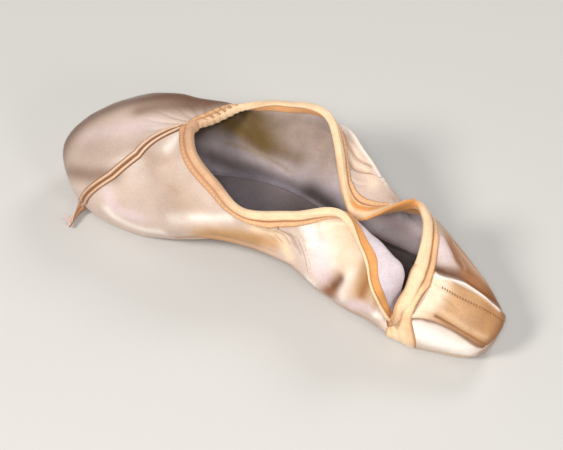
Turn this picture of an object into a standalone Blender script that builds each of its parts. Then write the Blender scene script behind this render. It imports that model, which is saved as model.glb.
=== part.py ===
"""Worn pointe shoe, standing empty on its sole: upper, outsole, insole, collar binding and strips.

Metres, +X toward the toe, -Y the side where the collar is turned down, +Z up, floor at z = 0.
"""
import math

import bpy
import numpy as np

# Driving dimensions
LENGTH = 0.226          # toe tip to heel, along the floor
BALL_WIDTH = 0.060      # across the ball of the foot
HEIGHT = 0.050          # back of the collar above the floor
ARCH_RISE = 0.014       # waist of the worn sole above the floor
TOE_SPRING = 0.003      # front edge of the sole above the floor
OUTSOLE = 0.0024        # leather outsole
INSOLE = 0.0016         # board and sock
WALL = 0.0018           # satin, canvas and paste of the upper
GAP = 0.0003            # clearance between neighbouring pieces
BINDING = 0.0068        # width of the collar binding
BINDING_WALL = 0.0009   # fabric of the binding
BINDING_PUFF = 0.0012   # cord and gathers inside its rolled edge
STRIP = 0.0008          # thickness of the back strip and the vamp strip
BINDING_GAP = 0.0004    # clearance inside the folded binding
STRIP_GAP = 0.0005      # clearance under the strips, over the facets of the upper
BACK_STRIP = 0.0060     # width of the back strip
INSOLE_INSET = 0.0042   # insole edge inside the feather line

# Resolution of the faceted pieces
COLUMNS_PER_SECTION = 4
FINE = 12               # steps of each of the five spans of a section
BODY_ROWS = (0, 6, 12, 14, 17, 24, 30, 36, 42, 45, 48)     # fine steps kept in the upper

# Sections round the shoe, from the back seam along the near side, round the toe and back
# foot_*: feather point, as shares of LENGTH from the middle and of half BALL_WIDTH
# out, low: how far the wall bulges past it, and at what share of HEIGHT
# crown: extra fullness above the bulge; sharp: how tightly the bulge turns
# rim_*: top of the section; band: width of the binding there, as a share of BINDING
COLUMNS = ("name", "foot_along", "foot_side", "out", "low", "crown",
           "rim_along", "rim_side", "rim_high", "sharp", "band")
SECTIONS = (
    ("seam",       -0.420, -0.76, 0.18, 0.34, 0.18, -0.232,  0.32, 0.95, 0.0, 1.0),
    ("near_heel",  -0.332, -0.92, 0.14, 0.30, 0.10, -0.222,  0.06, 0.98, 0.0, 1.0),
    ("near_cup",   -0.232, -0.86, 0.14, 0.28, 0.06, -0.190, -0.24, 0.90, 0.0, 1.0),
    ("near_qtr",   -0.130, -0.71, 0.12, 0.24, 0.03, -0.130, -0.44, 0.70, 0.0, 1.0),
    ("near_waist", -0.045, -0.60, 0.12, 0.20, 0.00, -0.058, -0.60, 0.52, 0.0, 1.0),
    ("near_side",   0.036, -0.50, 0.12, 0.18, 0.00,  0.034, -0.27, 0.58, 0.0, 1.0),
    ("near_wing",   0.110, -0.56, 0.14, 0.22, 0.04,  0.122,  0.06, 0.68, 0.0, 0.9),
    ("flap",        0.170, -0.63, 0.12, 0.24, 0.05,  0.206, -0.18, 0.81, 0.0, 0.8),
    ("flap_mid",    0.218, -0.67, 0.10, 0.24, 0.04,  0.250, -0.33, 0.78, 0.0, 0.95),
    ("flap_end",    0.256, -0.72, 0.10, 0.22, 0.04,  0.284, -0.44, 0.74, 0.0, 0.8),
    ("notch",       0.294, -0.76, 0.08, 0.14, 0.00,  0.288, -0.58, 0.33, 0.0, 0.6),
    ("near_box",    0.350, -0.78, 0.08, 0.20, 0.03,  0.312, -0.66, 0.52, 0.2, 1.0),
    ("near_toe",    0.425, -0.68, 0.06, 0.22, 0.03,  0.312, -0.36, 0.68, 0.4, 1.3),
    ("near_tip",    0.466, -0.54, 0.06, 0.26, 0.02,  0.311, -0.16, 0.76, 0.5, 1.2),
    ("tip",         0.482, -0.24, 0.05, 0.30, 0.02,  0.304,  0.06, 0.82, 0.6, 1.1),
    ("far_tip",     0.470,  0.06, 0.06, 0.30, 0.03,  0.294,  0.26, 0.88, 0.5, 1.0),
    ("far_box",     0.405,  0.46, 0.08, 0.26, 0.04,  0.280,  0.46, 0.92, 0.3, 1.0),
    ("far_wing",    0.315,  0.72, 0.10, 0.28, 0.06,  0.256,  0.64, 0.92, 0.0, 1.0),
    ("far_throat",  0.230,  0.80, 0.10, 0.30, 0.06,  0.226,  0.60, 0.88, 0.0, 1.0),
    ("far_fold",    0.150,  0.80, 0.08, 0.30, 0.02,  0.155,  0.35, 0.72, 0.0, 1.0),
    ("far_dip",     0.080,  0.76, 0.08, 0.30, 0.02,  0.104,  0.46, 0.70, 0.0, 1.0),
    ("far_corner",  0.005,  0.74, 0.10, 0.30, 0.02,  0.016,  1.20, 0.96, 0.0, 1.0),
    ("far_qtr",    -0.095,  0.72, 0.14, 0.34, 0.04, -0.085,  1.12, 0.92, 0.0, 1.0),
    ("far_cup",    -0.200,  0.70, 0.18, 0.38, 0.15, -0.162,  0.94, 0.90, 0.0, 1.0),
    ("far_heel",   -0.315,  0.68, 0.22, 0.42, 0.18, -0.190,  0.74, 0.88, 0.0, 1.0),
    ("far_back",   -0.428,  0.44, 0.28, 0.42, 0.21, -0.208,  0.54, 0.89, 0.0, 1.0),
    ("back",       -0.474, -0.24, 0.26, 0.38, 0.22, -0.222,  0.42, 0.92, 0.0, 1.0),
)
# Where the wall is creased: the crest between the bulge and the rim, in the same shares
CRESTS = {
    "far_fold":   (0.170, 0.84, 0.78),
    "far_dip":    (0.098, 1.20, 0.78),
    "far_corner": (0.022, 1.36, 0.78),
}
# Where the collar is turned outwards: its free edge, past the top of the section
FLAPS = {
    "near_wing": (0.120, -0.06, 0.80),
    "flap":      (0.192, -0.40, 0.80),
    "flap_mid":  (0.222, -0.58, 0.72),
    "flap_end":  (0.252, -0.82, 0.60),
    "notch":     (0.292, -0.84, 0.32),
}
# Middle line of the sole: along, side
SPINE = ((-0.36, -0.10), (0.0, 0.10), (0.20, 0.02), (0.30, -0.06))
# Share of the shoe's width that the outsole covers: along, share
COVER = ((-0.45, 0.76), (-0.25, 0.76), (-0.10, 0.71), (0.02, 0.68), (0.12, 0.73), (0.24, 0.80), (0.34, 0.79),
         (0.47, 0.62))
MARGIN = 0.24           # the same share, how far the upper turns in over the outsole
RIM, RIM_MOST = 0.0090, 0.72    # from the collar's edge back to the rim knot: length, most of the way
# Flat lengths of the sole: back of the arch, front of the arch, start of the toe spring
HEEL_END, BALL_START, SPRING_START = -0.31, 0.20, 0.36

# Bound edge: share of the width back from the edge, share of the puff there
BINDING_OUTSIDE = ((1.0, 0.0), (0.6, 1.0), (0.1, 0.9))
BOUND_ROWS = (1.0, 0.5, 0.0)
BOUND_MOST = 0.92       # most of the way back to the rim knot that the binding may cover
# Path of the back seam up the wall: fine step, count of sections from the seam
BACK_PATH = ((12, -0.10), (18, 0.12), (24, 0.34), (32, 0.48), (38, 0.40), (44, 0.05), (50, -0.25), (60, -0.15))
# Loose tail of the back strip: along, side, height in shares, share of the strip's width
TAIL = ((-0.426, -0.88, 0.085, 0.8), (-0.425, -1.04, 0.060, 0.6), (-0.421, -1.26, 0.05, 0.35))
# Edges of the vamp strip at the throat and at the tip, as counts of sections from the seam
VAMP_NEAR, VAMP_FAR = (11.35, 13.15), (13.10, 14.70)
VAMP_LANES, VAMP_ROWS = 8, 10
# Plain material of each piece: colour, roughness
MATERIALS = {
    "upper":          ((0.80, 0.66, 0.60), 0.38),
    "collar_binding": ((0.78, 0.53, 0.34), 0.60),
    "outsole":        ((0.36, 0.24, 0.16), 0.70),
    "insole":         ((0.42, 0.39, 0.38), 0.85),
    "back_strip":     ((0.74, 0.55, 0.44), 0.55),
    "vamp_strip":     ((0.66, 0.49, 0.33), 0.50),
}
SEAM_STEP = 0.02        # count of sections that the width of the tape is measured over
BACK_LANES, BACK_STEP = 4, 4
STRIP_CLEAR = 0.0012    # from the binding to the end of a strip


def share_table(name):
    """One column of the section table as an array."""
    return np.array([row[COLUMNS.index(name)] for row in SECTIONS], dtype=object if name == "name" else float)


def lift(x):
    """Height that the arch and the toe spring add at a place along the shoe."""
    heel, ball, front = HEEL_END * LENGTH, BALL_START * LENGTH, SPRING_START * LENGTH
    arch = np.clip((x - heel) / (ball - heel), 0, 1)
    spring = np.clip((x - front) / (LENGTH / 2 - front), 0, 1)
    return ARCH_RISE * np.sin(math.pi * arch) ** 2 + TOE_SPRING * spring**2


def place(along, side, high):
    """A point from its shares, with the lift of the sole under it."""
    x = along * LENGTH
    return np.array([x, side * BALL_WIDTH / 2, high * HEIGHT + lift(x)])


def spread(point, share):
    """A share of the way from the sole's middle line out to a feather point."""
    spine = np.array(SPINE) * (LENGTH, BALL_WIDTH / 2)
    x = np.clip(point[0], spine[0, 0], spine[-1, 0])
    middle = np.array([x, np.interp(x, spine[:, 0], spine[:, 1])])
    return middle + (point[:2] - middle) * share


def knots():
    """Margin, feather, bulge, crown, rim and edge of every section."""
    feather = np.stack([share_table("foot_along") * LENGTH, share_table("foot_side") * BALL_WIDTH / 2], axis=1)
    rows = [dict(zip(COLUMNS, row)) for row in SECTIONS]
    points = []
    for i, row in enumerate(rows):
        run = feather[(i + 1) % len(rows)] - feather[i - 1]
        outward = np.array([run[1], -run[0]]) / np.hypot(*run) * BALL_WIDTH / 2
        cover = np.interp(row["foot_along"], *np.array(COVER).T)
        inner = spread(feather[i], cover - MARGIN)
        floor = lift(feather[i][0])
        margin = np.array([*inner, OUTSOLE + GAP + lift(inner[0])])
        foot = np.array([*feather[i], OUTSOLE + GAP + floor])
        bulge = np.array([*(feather[i] + outward * row["out"]), floor + row["low"] * HEIGHT])
        top = place(row["rim_along"], row["rim_side"], row["rim_high"])
        if row["name"] in CRESTS:
            crown = place(*CRESTS[row["name"]])
        else:
            full = np.array([*(outward * row["crown"]), row["crown"] * HEIGHT])
            crown = (bulge + top) / 2 + full
        if row["name"] in FLAPS:
            rim, edge = top, place(*FLAPS[row["name"]])
        else:
            back = min(RIM / np.linalg.norm(crown - top), RIM_MOST)
            rim, edge = top + (crown - top) * back, top
        points.append([margin, foot, bulge, crown, rim, edge])
    return np.array(points)


def round_values(values, turns):
    """Smooth closed interpolation of rows of values; turns counts rows."""
    turns = np.asarray(turns, float)
    i = np.floor(turns).astype(int)
    f = (turns - i).reshape((-1,) + (1,) * (values.ndim - 1))
    a, b, c, d = (values[(i + k) % len(values)] for k in (-1, 0, 1, 2))
    return (b + 0.5 * f * (c - a) + f**2 * (a - 2.5 * b + 2 * c - 0.5 * d)
            + f**3 * (1.5 * b - 0.5 * a - 1.5 * c + 0.5 * d))


def section_line(points, sharp):
    """Fine points of one section through its knots, margin to edge."""
    spans = np.linalg.norm(np.diff(points, axis=0), axis=1)
    way = np.diff(points, axis=0) / spans[:, None]
    tangents = np.concatenate([way[:1], way[:1], way[:1], way[:1], way[:1], way[-1:]])
    for k in range(1, len(points) - 1):
        mixed = way[k - 1] * spans[k] + way[k] * spans[k - 1]
        tangents[k] = mixed / (spans[k] + spans[k - 1])
    pull = np.array([0.36, 0.20, 0.36 * (1 - sharp), 0.36, 0.36, 0.36])
    f = (np.arange(FINE) / FINE)[:, None]
    line = []
    for k, span in enumerate(spans):
        start, end = points[k], points[k + 1]
        leave = start + tangents[k] * span * pull[k]
        arrive = end - tangents[k + 1] * span * pull[k + 1]
        line.append((1 - f)**3 * start + 3 * (1 - f)**2 * f * leave + 3 * (1 - f) * f**2 * arrive + f**3 * end)
    line = np.concatenate(line + [points[-1:]])
    line[:FINE, 2] = OUTSOLE + GAP + lift(line[:FINE, 0])
    return line


def wall(turns):
    """Outer surface and its normals: one fine line for each of the turns."""
    points = round_values(knots(), turns)
    sharp = np.clip(round_values(share_table("sharp"), turns), 0, 1)
    return np.array([section_line(p, s) for p, s in zip(points, sharp)])


def outward_normals(grid, closed=True):
    """Normals of a grid of lines, pointing out of the shoe."""
    if closed:
        across = np.roll(grid, -1, axis=0) - np.roll(grid, 1, axis=0)
    else:
        across = np.gradient(grid, axis=0)
    up = np.gradient(grid, axis=1)
    normal = np.cross(across, up)
    return normal / np.linalg.norm(normal, axis=2, keepdims=True)


def left_along(line):
    """Distance from every point of a fine line to its end."""
    steps = np.linalg.norm(np.diff(line, axis=0), axis=1)
    return np.append(np.cumsum(steps[::-1])[::-1], 0.0)


def fine_wall():
    """The whole outer surface at the CAD's resolution, with normals and binding widths."""
    turns = np.arange(len(SECTIONS) * COLUMNS_PER_SECTION) / COLUMNS_PER_SECTION
    grid = wall(turns)
    room = np.array([left_along(line)[FINE * 4] for line in grid]) * BOUND_MOST
    widths = np.minimum(round_values(share_table("band"), turns) * BINDING, room)
    return grid, outward_normals(grid), widths


def back_from_edge(line, values, distances):
    """Values of a fine line at distances back from its end."""
    left = left_along(line)
    picked = [np.interp(-np.atleast_1d(distances), -left, values[:, k]) for k in range(3)]
    return np.stack(picked, axis=1)


def upper_rows(line, width):
    """Distances back from the edge of the rows that the upper and the binding share."""
    left = left_along(line)
    body = left[list(BODY_ROWS)]
    return np.concatenate([body, [(body[-1] + width) / 2], width * np.array(BOUND_ROWS)])


def add_object(name, vertices, faces):
    mesh = bpy.data.meshes.new(name)
    mesh.from_pydata([tuple(map(float, v)) for v in vertices], [], [tuple(map(int, f)) for f in faces])
    mesh.validate()
    colour, roughness = MATERIALS[name]
    material = bpy.data.materials.new(name)
    material.use_nodes = True
    shader = material.node_tree.nodes["Principled BSDF"]
    shader.inputs["Base Color"].default_value = (*colour, 1.0)
    shader.inputs["Roughness"].default_value = roughness
    mesh.materials.append(material)
    piece = bpy.data.objects.new(name, mesh)
    bpy.context.scene.collection.objects.link(piece)
    return piece


def ring_faces(loops, forward):
    """Faces of a closed tube. Spans that run back down the wall are split on the other diagonal, so
    that two surfaces lying against each other have matching facets."""
    columns, points = loops.shape[:2]
    faces = []
    for i in range(columns):
        for j in range(points):
            a, b = i * points + j, (i + 1) % columns * points + j
            c, d = (i + 1) % columns * points + (j + 1) % points, i * points + (j + 1) % points
            faces += [(a, b, c), (a, c, d)] if forward[j] else [(a, b, d), (b, c, d)]
    return faces


def slab(name, lower, upper):
    """Closed body between two open grids of the same shape; upper is the outward side."""
    rows, cols = lower.shape[:2]
    count = rows * cols
    vertices = np.concatenate([lower.reshape(-1, 3), upper.reshape(-1, 3)])
    faces = []
    for i in range(rows - 1):
        for j in range(cols - 1):
            a, b, c, d = i * cols + j, (i + 1) * cols + j, (i + 1) * cols + j + 1, i * cols + j + 1
            faces += [(a, d, c), (a, c, b), (a + count, b + count, c + count), (a + count, c + count, d + count)]
    border = [(i, 0) for i in range(rows)] + [(rows - 1, j) for j in range(1, cols)]
    border += [(i, cols - 1) for i in range(rows - 2, -1, -1)] + [(0, j) for j in range(cols - 2, 0, -1)]
    index = [i * cols + j for i, j in border]
    for a, b in zip(index, index[1:] + index[:1]):
        faces += [(a, b, b + count), (a, b + count, a + count)]
    return add_object(name, vertices, faces)


def upper(grid, normals, widths):
    """Hollow upper: the wall from the lasting margin to the collar's edge."""
    loops = []
    for line, away, width in zip(grid, normals, widths):
        rows = upper_rows(line, width)
        outside = back_from_edge(line, line, rows)
        inside = outside - back_from_edge(line, away, rows) * WALL
        loops.append(np.concatenate([outside, inside[::-1]]))
    loops = np.array(loops)
    half = loops.shape[1] // 2
    return add_object("upper", loops.reshape(-1, 3), ring_faces(loops, [True] * half + [False] * half))


def collar_binding(grid, normals, widths):
    """Folded binding round the whole collar, over both faces of the upper's edge."""
    loops = []
    for line, away, width in zip(grid, normals, widths):
        end = line[-1] - line[-2]
        end /= np.linalg.norm(end)
        shares = np.array([share for share, _ in BINDING_OUTSIDE]) * width
        full = BINDING_PUFF * min(width / BINDING, 1.0)
        layers = np.array([[BINDING_GAP + BINDING_WALL + full * puff] for _, puff in BINDING_OUTSIDE])
        middle, out = back_from_edge(line, line, shares), back_from_edge(line, away, shares)
        outside = middle + out * layers
        inside = middle - out * (WALL + layers)
        top = line[-1] - away[-1] * WALL / 2 + end * (BINDING_GAP + BINDING_WALL + full)
        rows = width * np.array(BOUND_ROWS)
        middle, out = back_from_edge(line, line, rows), back_from_edge(line, away, rows)
        past = end * BINDING_GAP * (rows == 0)[:, None]
        facing_out = middle + out * BINDING_GAP + past
        facing_in = middle - out * (WALL + BINDING_GAP) + past
        loops.append(np.concatenate([outside, [top], inside[::-1], facing_in, facing_out[::-1]]))
    loops = np.array(loops)
    folds, bound = len(BINDING_OUTSIDE), len(BOUND_ROWS)
    forward = [True] * folds + [False] * (folds + 1) + [True] * bound + [False] * bound
    return add_object("collar_binding", loops.reshape(-1, 3), ring_faces(loops, forward))


def plate(name, outline, low, high, stations=32, across=4):
    """Thin sole following the arch: a grid inside a closed outline."""
    front, back = outline[:, 0].max(), outline[:, 0].min()
    turn = np.linspace(0.055, math.pi - 0.055, stations)
    xs = (front + back) / 2 - np.cos(turn) * (front - back) / 2
    near = outline[outline[:, 1] < np.interp(outline[:, 0], *np.array(SPINE).T * [[LENGTH], [BALL_WIDTH / 2]])]
    far = outline[outline[:, 1] >= np.interp(outline[:, 0], *np.array(SPINE).T * [[LENGTH], [BALL_WIDTH / 2]])]
    near, far = near[np.argsort(near[:, 0])], far[np.argsort(far[:, 0])]
    share = np.linspace(0, 1, across)
    near_y, far_y = np.interp(xs, *near.T), np.interp(xs, *far.T)
    ys = near_y[:, None] + (far_y - near_y)[:, None] * share
    flat = np.stack([np.repeat(xs[:, None], across, axis=1), ys], axis=2)
    height = lift(flat[..., :1])
    return slab(name, np.concatenate([flat, height + low], axis=2), np.concatenate([flat, height + high], axis=2))


def sole_outline(share_at):
    """Closed outline made from the feather line by a rule for its share."""
    turns = np.arange(len(SECTIONS) * 8) / 8
    feet = round_values(knots()[:, 1, :2], turns)
    return np.array([share_at(foot) for foot in feet])


def outsole_point(foot):
    cover = np.interp(foot[0] / LENGTH, *np.array(COVER).T)
    return spread(foot, cover)


def insole_point(foot):
    middle = spread(foot, 0.0)
    reach = np.linalg.norm(foot - middle)
    return middle + (foot - middle) * (reach - INSOLE_INSET) / reach


def back_strip(widths):
    """Tape over the back seam, from under the binding to its loose tail."""
    steps = np.arange(FINE, FINE * 5 + 1)
    path = np.interp(steps, *np.array(BACK_PATH).T)
    beside = wall(np.concatenate([path - SEAM_STEP, path + SEAM_STEP]))
    index = np.arange(len(steps))
    reach = np.linalg.norm(beside[index, steps] - beside[index + len(steps), steps], axis=1) / (2 * SEAM_STEP)
    lanes = np.linspace(-0.5, 0.5, BACK_LANES)
    turns = path + lanes[:, None] * BACK_STRIP / reach
    lines = wall(turns.ravel()).reshape(BACK_LANES, len(steps), -1, 3)
    grid = lines[:, index, steps]
    normal = outward_normals(grid, closed=False)
    stop = left_along(grid[BACK_LANES // 2]) > widths[0] + STRIP_CLEAR
    keep = index[stop][::BACK_STEP]
    low = grid[:, keep] + normal[:, keep] * STRIP_GAP
    high = grid[:, keep] + normal[:, keep] * (STRIP_GAP + STRIP)
    side = low[-1, 0] - low[0, 0]
    tail_low, tail_high = [], []
    for along, across, height, width in TAIL[::-1]:
        middle = np.array([along * LENGTH, across * BALL_WIDTH / 2, height * HEIGHT])
        lane_points = middle + np.outer(lanes, side * width)
        tail_low.append(lane_points)
        tail_high.append(lane_points + np.array([0.0, 0.0, STRIP]))
    low = np.concatenate([np.array(tail_low).transpose(1, 0, 2), low], axis=1)
    high = np.concatenate([np.array(tail_high).transpose(1, 0, 2), high], axis=1)
    return slab("back_strip", low, high)


def vamp_strip():
    """Worn strip down the middle of the toe box, from the throat to the tip."""
    down = np.linspace(1, 0, VAMP_ROWS)
    lanes = np.linspace(0, 1, VAMP_LANES)[:, None]
    near, far = (np.interp(down, (0, 1), ends) for ends in (VAMP_NEAR, VAMP_FAR))
    turns = near + (far - near) * lanes
    starts = round_values(share_table("band"), turns.ravel()) * BINDING + STRIP_CLEAR
    points = []
    for line, start, share in zip(wall(turns.ravel()), starts, np.tile(down, VAMP_LANES)):
        bulge = left_along(line)[FINE * 2]
        points.append(back_from_edge(line, line, start + (bulge - start) * share)[0])
    grid = np.array(points).reshape(VAMP_LANES, VAMP_ROWS, 3)
    normal = outward_normals(grid, closed=False)
    return slab("vamp_strip", grid + normal * STRIP_GAP, grid + normal * (STRIP_GAP + STRIP))


def seat(pieces):
    """Centre the shoe over the origin and stand it on the floor."""
    points = np.concatenate([[v.co[:] for v in piece.data.vertices] for piece in pieces])
    low, high = points.min(axis=0), points.max(axis=0)
    shift = np.array([(low[0] + high[0]) / 2, (low[1] + high[1]) / 2, low[2]])
    for piece in pieces:
        for vertex in piece.data.vertices:
            vertex.co = [c - s for c, s in zip(vertex.co, shift)]
        piece.data.update()


def build():
    for leftover in list(bpy.data.objects):
        bpy.data.objects.remove(leftover)
    grid, normals, widths = fine_wall()
    above_margin = OUTSOLE + GAP + WALL + GAP
    pieces = [
        upper(grid, normals, widths),
        collar_binding(grid, normals, widths),
        plate("outsole", sole_outline(outsole_point), 0.0, OUTSOLE),
        plate("insole", sole_outline(insole_point), above_margin, above_margin + INSOLE),
        back_strip(widths),
        vamp_strip(),
    ]
    seat(pieces)


build()
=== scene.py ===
"""Dressed look of the worn pointe shoe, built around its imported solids.

Metres, +X toward the toe, -Y the side where the collar is turned down, floor at z = 0.
A place on the wall is written as (section, span). Sections are counted from the back seam along the near
side, round the toe and back along the far side, 27 in all. Spans go up the wall: 0 margin under the shoe,
1 feather line, 2 bulge, 3 crown, 4 rim, 5 free edge of the collar.
"""
import math

import bpy
import numpy as np
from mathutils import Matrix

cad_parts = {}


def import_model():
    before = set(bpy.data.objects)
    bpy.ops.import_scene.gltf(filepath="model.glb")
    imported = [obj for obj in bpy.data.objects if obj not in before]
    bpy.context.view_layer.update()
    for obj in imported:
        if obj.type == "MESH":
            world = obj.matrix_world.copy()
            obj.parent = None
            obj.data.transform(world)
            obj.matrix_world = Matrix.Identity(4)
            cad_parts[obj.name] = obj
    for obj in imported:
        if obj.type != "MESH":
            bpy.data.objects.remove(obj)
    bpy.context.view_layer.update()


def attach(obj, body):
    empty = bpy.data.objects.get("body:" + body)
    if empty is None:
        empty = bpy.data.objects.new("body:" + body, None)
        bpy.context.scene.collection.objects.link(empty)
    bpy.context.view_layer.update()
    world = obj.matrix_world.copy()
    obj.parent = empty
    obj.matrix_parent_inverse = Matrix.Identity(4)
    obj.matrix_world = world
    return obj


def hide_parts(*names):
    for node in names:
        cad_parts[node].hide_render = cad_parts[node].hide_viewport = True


MM = 0.001
UP = np.array([0.0, 0.0, 1.0])

# Sizes of the shoe, as in the part's own source
LENGTH = 0.226          # toe tip to heel, along the floor
BALL_WIDTH = 0.060      # across the ball of the foot
HEIGHT = 0.050          # back of the collar above the floor
ARCH_RISE = 0.014       # waist of the worn sole above the floor
TOE_SPRING = 0.003      # front edge of the sole above the floor
OUTSOLE = 0.0024        # leather outsole
INSOLE = 0.0016         # board and sock
WALL = 0.0018           # satin, canvas and paste of the upper
GAP = 0.0003            # clearance between neighbouring pieces
BINDING = 0.0068        # width of the collar binding
BACK_STRIP = 0.0060     # width of the back strip
INSOLE_INSET = 0.0042   # insole edge inside the feather line
SEAT = np.array([-0.001766, 0.001194, 0.0])     # what seating the shoe moved it by

# Sections round the shoe, as in the part's own source
COLUMNS = ("name", "foot_along", "foot_side", "out", "low", "crown",
           "rim_along", "rim_side", "rim_high", "sharp", "band")
SECTIONS = (
    ("seam",       -0.420, -0.76, 0.18, 0.34, 0.18, -0.232,  0.32, 0.95, 0.0, 1.0),
    ("near_heel",  -0.332, -0.92, 0.14, 0.30, 0.10, -0.222,  0.06, 0.98, 0.0, 1.0),
    ("near_cup",   -0.232, -0.86, 0.14, 0.28, 0.06, -0.190, -0.24, 0.90, 0.0, 1.0),
    ("near_qtr",   -0.130, -0.71, 0.12, 0.24, 0.03, -0.130, -0.44, 0.70, 0.0, 1.0),
    ("near_waist", -0.045, -0.60, 0.12, 0.20, 0.00, -0.058, -0.60, 0.52, 0.0, 1.0),
    ("near_side",   0.036, -0.50, 0.12, 0.18, 0.00,  0.034, -0.27, 0.58, 0.0, 1.0),
    ("near_wing",   0.110, -0.56, 0.14, 0.22, 0.04,  0.122,  0.06, 0.68, 0.0, 0.9),
    ("flap",        0.170, -0.63, 0.12, 0.24, 0.05,  0.206, -0.18, 0.81, 0.0, 0.8),
    ("flap_mid",    0.218, -0.67, 0.10, 0.24, 0.04,  0.250, -0.33, 0.78, 0.0, 0.95),
    ("flap_end",    0.256, -0.72, 0.10, 0.22, 0.04,  0.284, -0.44, 0.74, 0.0, 0.8),
    ("notch",       0.294, -0.76, 0.08, 0.14, 0.00,  0.288, -0.58, 0.33, 0.0, 0.6),
    ("near_box",    0.350, -0.78, 0.08, 0.20, 0.03,  0.312, -0.66, 0.52, 0.2, 1.0),
    ("near_toe",    0.425, -0.68, 0.06, 0.22, 0.03,  0.312, -0.36, 0.68, 0.4, 1.3),
    ("near_tip",    0.466, -0.54, 0.06, 0.26, 0.02,  0.311, -0.16, 0.76, 0.5, 1.2),
    ("tip",         0.482, -0.24, 0.05, 0.30, 0.02,  0.304,  0.06, 0.82, 0.6, 1.1),
    ("far_tip",     0.470,  0.06, 0.06, 0.30, 0.03,  0.294,  0.26, 0.88, 0.5, 1.0),
    ("far_box",     0.405,  0.46, 0.08, 0.26, 0.04,  0.280,  0.46, 0.92, 0.3, 1.0),
    ("far_wing",    0.315,  0.72, 0.10, 0.28, 0.06,  0.256,  0.64, 0.92, 0.0, 1.0),
    ("far_throat",  0.230,  0.80, 0.10, 0.30, 0.06,  0.226,  0.60, 0.88, 0.0, 1.0),
    ("far_fold",    0.150,  0.80, 0.08, 0.30, 0.02,  0.155,  0.35, 0.72, 0.0, 1.0),
    ("far_dip",     0.080,  0.76, 0.08, 0.30, 0.02,  0.104,  0.46, 0.70, 0.0, 1.0),
    ("far_corner",  0.005,  0.74, 0.10, 0.30, 0.02,  0.016,  1.20, 0.96, 0.0, 1.0),
    ("far_qtr",    -0.095,  0.72, 0.14, 0.34, 0.04, -0.085,  1.12, 0.92, 0.0, 1.0),
    ("far_cup",    -0.200,  0.70, 0.18, 0.38, 0.15, -0.162,  0.94, 0.90, 0.0, 1.0),
    ("far_heel",   -0.315,  0.68, 0.22, 0.42, 0.18, -0.190,  0.74, 0.88, 0.0, 1.0),
    ("far_back",   -0.428,  0.44, 0.28, 0.42, 0.21, -0.208,  0.54, 0.89, 0.0, 1.0),
    ("back",       -0.474, -0.24, 0.26, 0.38, 0.22, -0.222,  0.42, 0.92, 0.0, 1.0),
)
CRESTS = {
    "far_fold":   (0.170, 0.84, 0.78),
    "far_dip":    (0.098, 1.20, 0.78),
    "far_corner": (0.022, 1.36, 0.78),
}
FLAPS = {
    "near_wing": (0.120, -0.06, 0.80),
    "flap":      (0.192, -0.40, 0.80),
    "flap_mid":  (0.222, -0.58, 0.72),
    "flap_end":  (0.252, -0.82, 0.60),
    "notch":     (0.292, -0.84, 0.32),
}
SPINE = ((-0.36, -0.10), (0.0, 0.10), (0.20, 0.02), (0.30, -0.06))
COVER = ((-0.45, 0.76), (-0.25, 0.76), (-0.10, 0.71), (0.02, 0.68), (0.12, 0.73), (0.24, 0.80),
         (0.34, 0.79), (0.47, 0.62))
MARGIN = 0.24
RIM, RIM_MOST = 0.0090, 0.72
HEEL_END, BALL_START, SPRING_START = -0.31, 0.20, 0.36
BOUND_MOST = 0.92
PULL, FEATHER_PULL = 0.36, 0.20      # length of the curve's handles, as shares of a span

# Resolution of the dressed pieces
FINE = 24               # steps of each span of a section
SPANS = 5
PER_SECTION = 12        # columns of the stored wall for each section
FULL_TURN = len(SECTIONS)
UP_WALL = np.arange(SPANS * FINE + 1) / FINE
QUARTER_COLUMNS, VAMP_COLUMNS, FAR_COLUMNS = 230, 640, 320
LINING_COLUMNS, LINING_ROWS = 560, 96
BINDING_STATIONS = 1500
THREAD_SIDES = 6

# Seams: span, then section
BACK_SEAM = ((0.0, 0.10), (1.0, -0.10), (1.5, 0.12), (2.0, 0.34), (2.67, 0.48), (3.17, 0.40), (3.67, 0.05),
             (4.17, -0.25), (5.0, -0.15))
NEAR_SEAM = ((0.0, 6.30), (1.0, 6.25), (2.0, 6.02), (2.5, 5.66), (2.8, 5.40), (3.3, 5.06), (4.0, 4.79),
             (5.0, 4.70))
FAR_SEAM = ((0.0, 18.90), (1.0, 18.95), (2.0, 19.05), (3.08, 19.35), (3.6, 19.80), (3.9, 20.15), (5.0, 20.40))
LAP, LAP_WIDTH = 0.0003, 0.003      # how far the vamp lies over the quarters at the side seams

# Paths that a crease and the painted shade along it share
TOE_GROOVE = ((13.45, 4.1), (14.15, 3.45), (14.7, 2.8), (15.05, 2.2))
NEAR_PULLS = (
    ((4.77, 4.4), (4.8, 3.9), (4.92, 3.4), (5.17, 2.9), (5.47, 2.6)),
    ((4.54, 4.2), (4.64, 3.6), (4.84, 3.1), (5.12, 2.75)),
    ((4.28, 4.2), (4.42, 3.6), (4.62, 3.1), (4.92, 2.7)),
)
FAR_TUCKS = (
    ((20.75, 3.9), (20.4, 3.65), (20.05, 3.45), (19.7, 3.2)),
    ((20.55, 4.3), (20.25, 3.95), (19.95, 3.7), (19.6, 3.4)),
)
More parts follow.
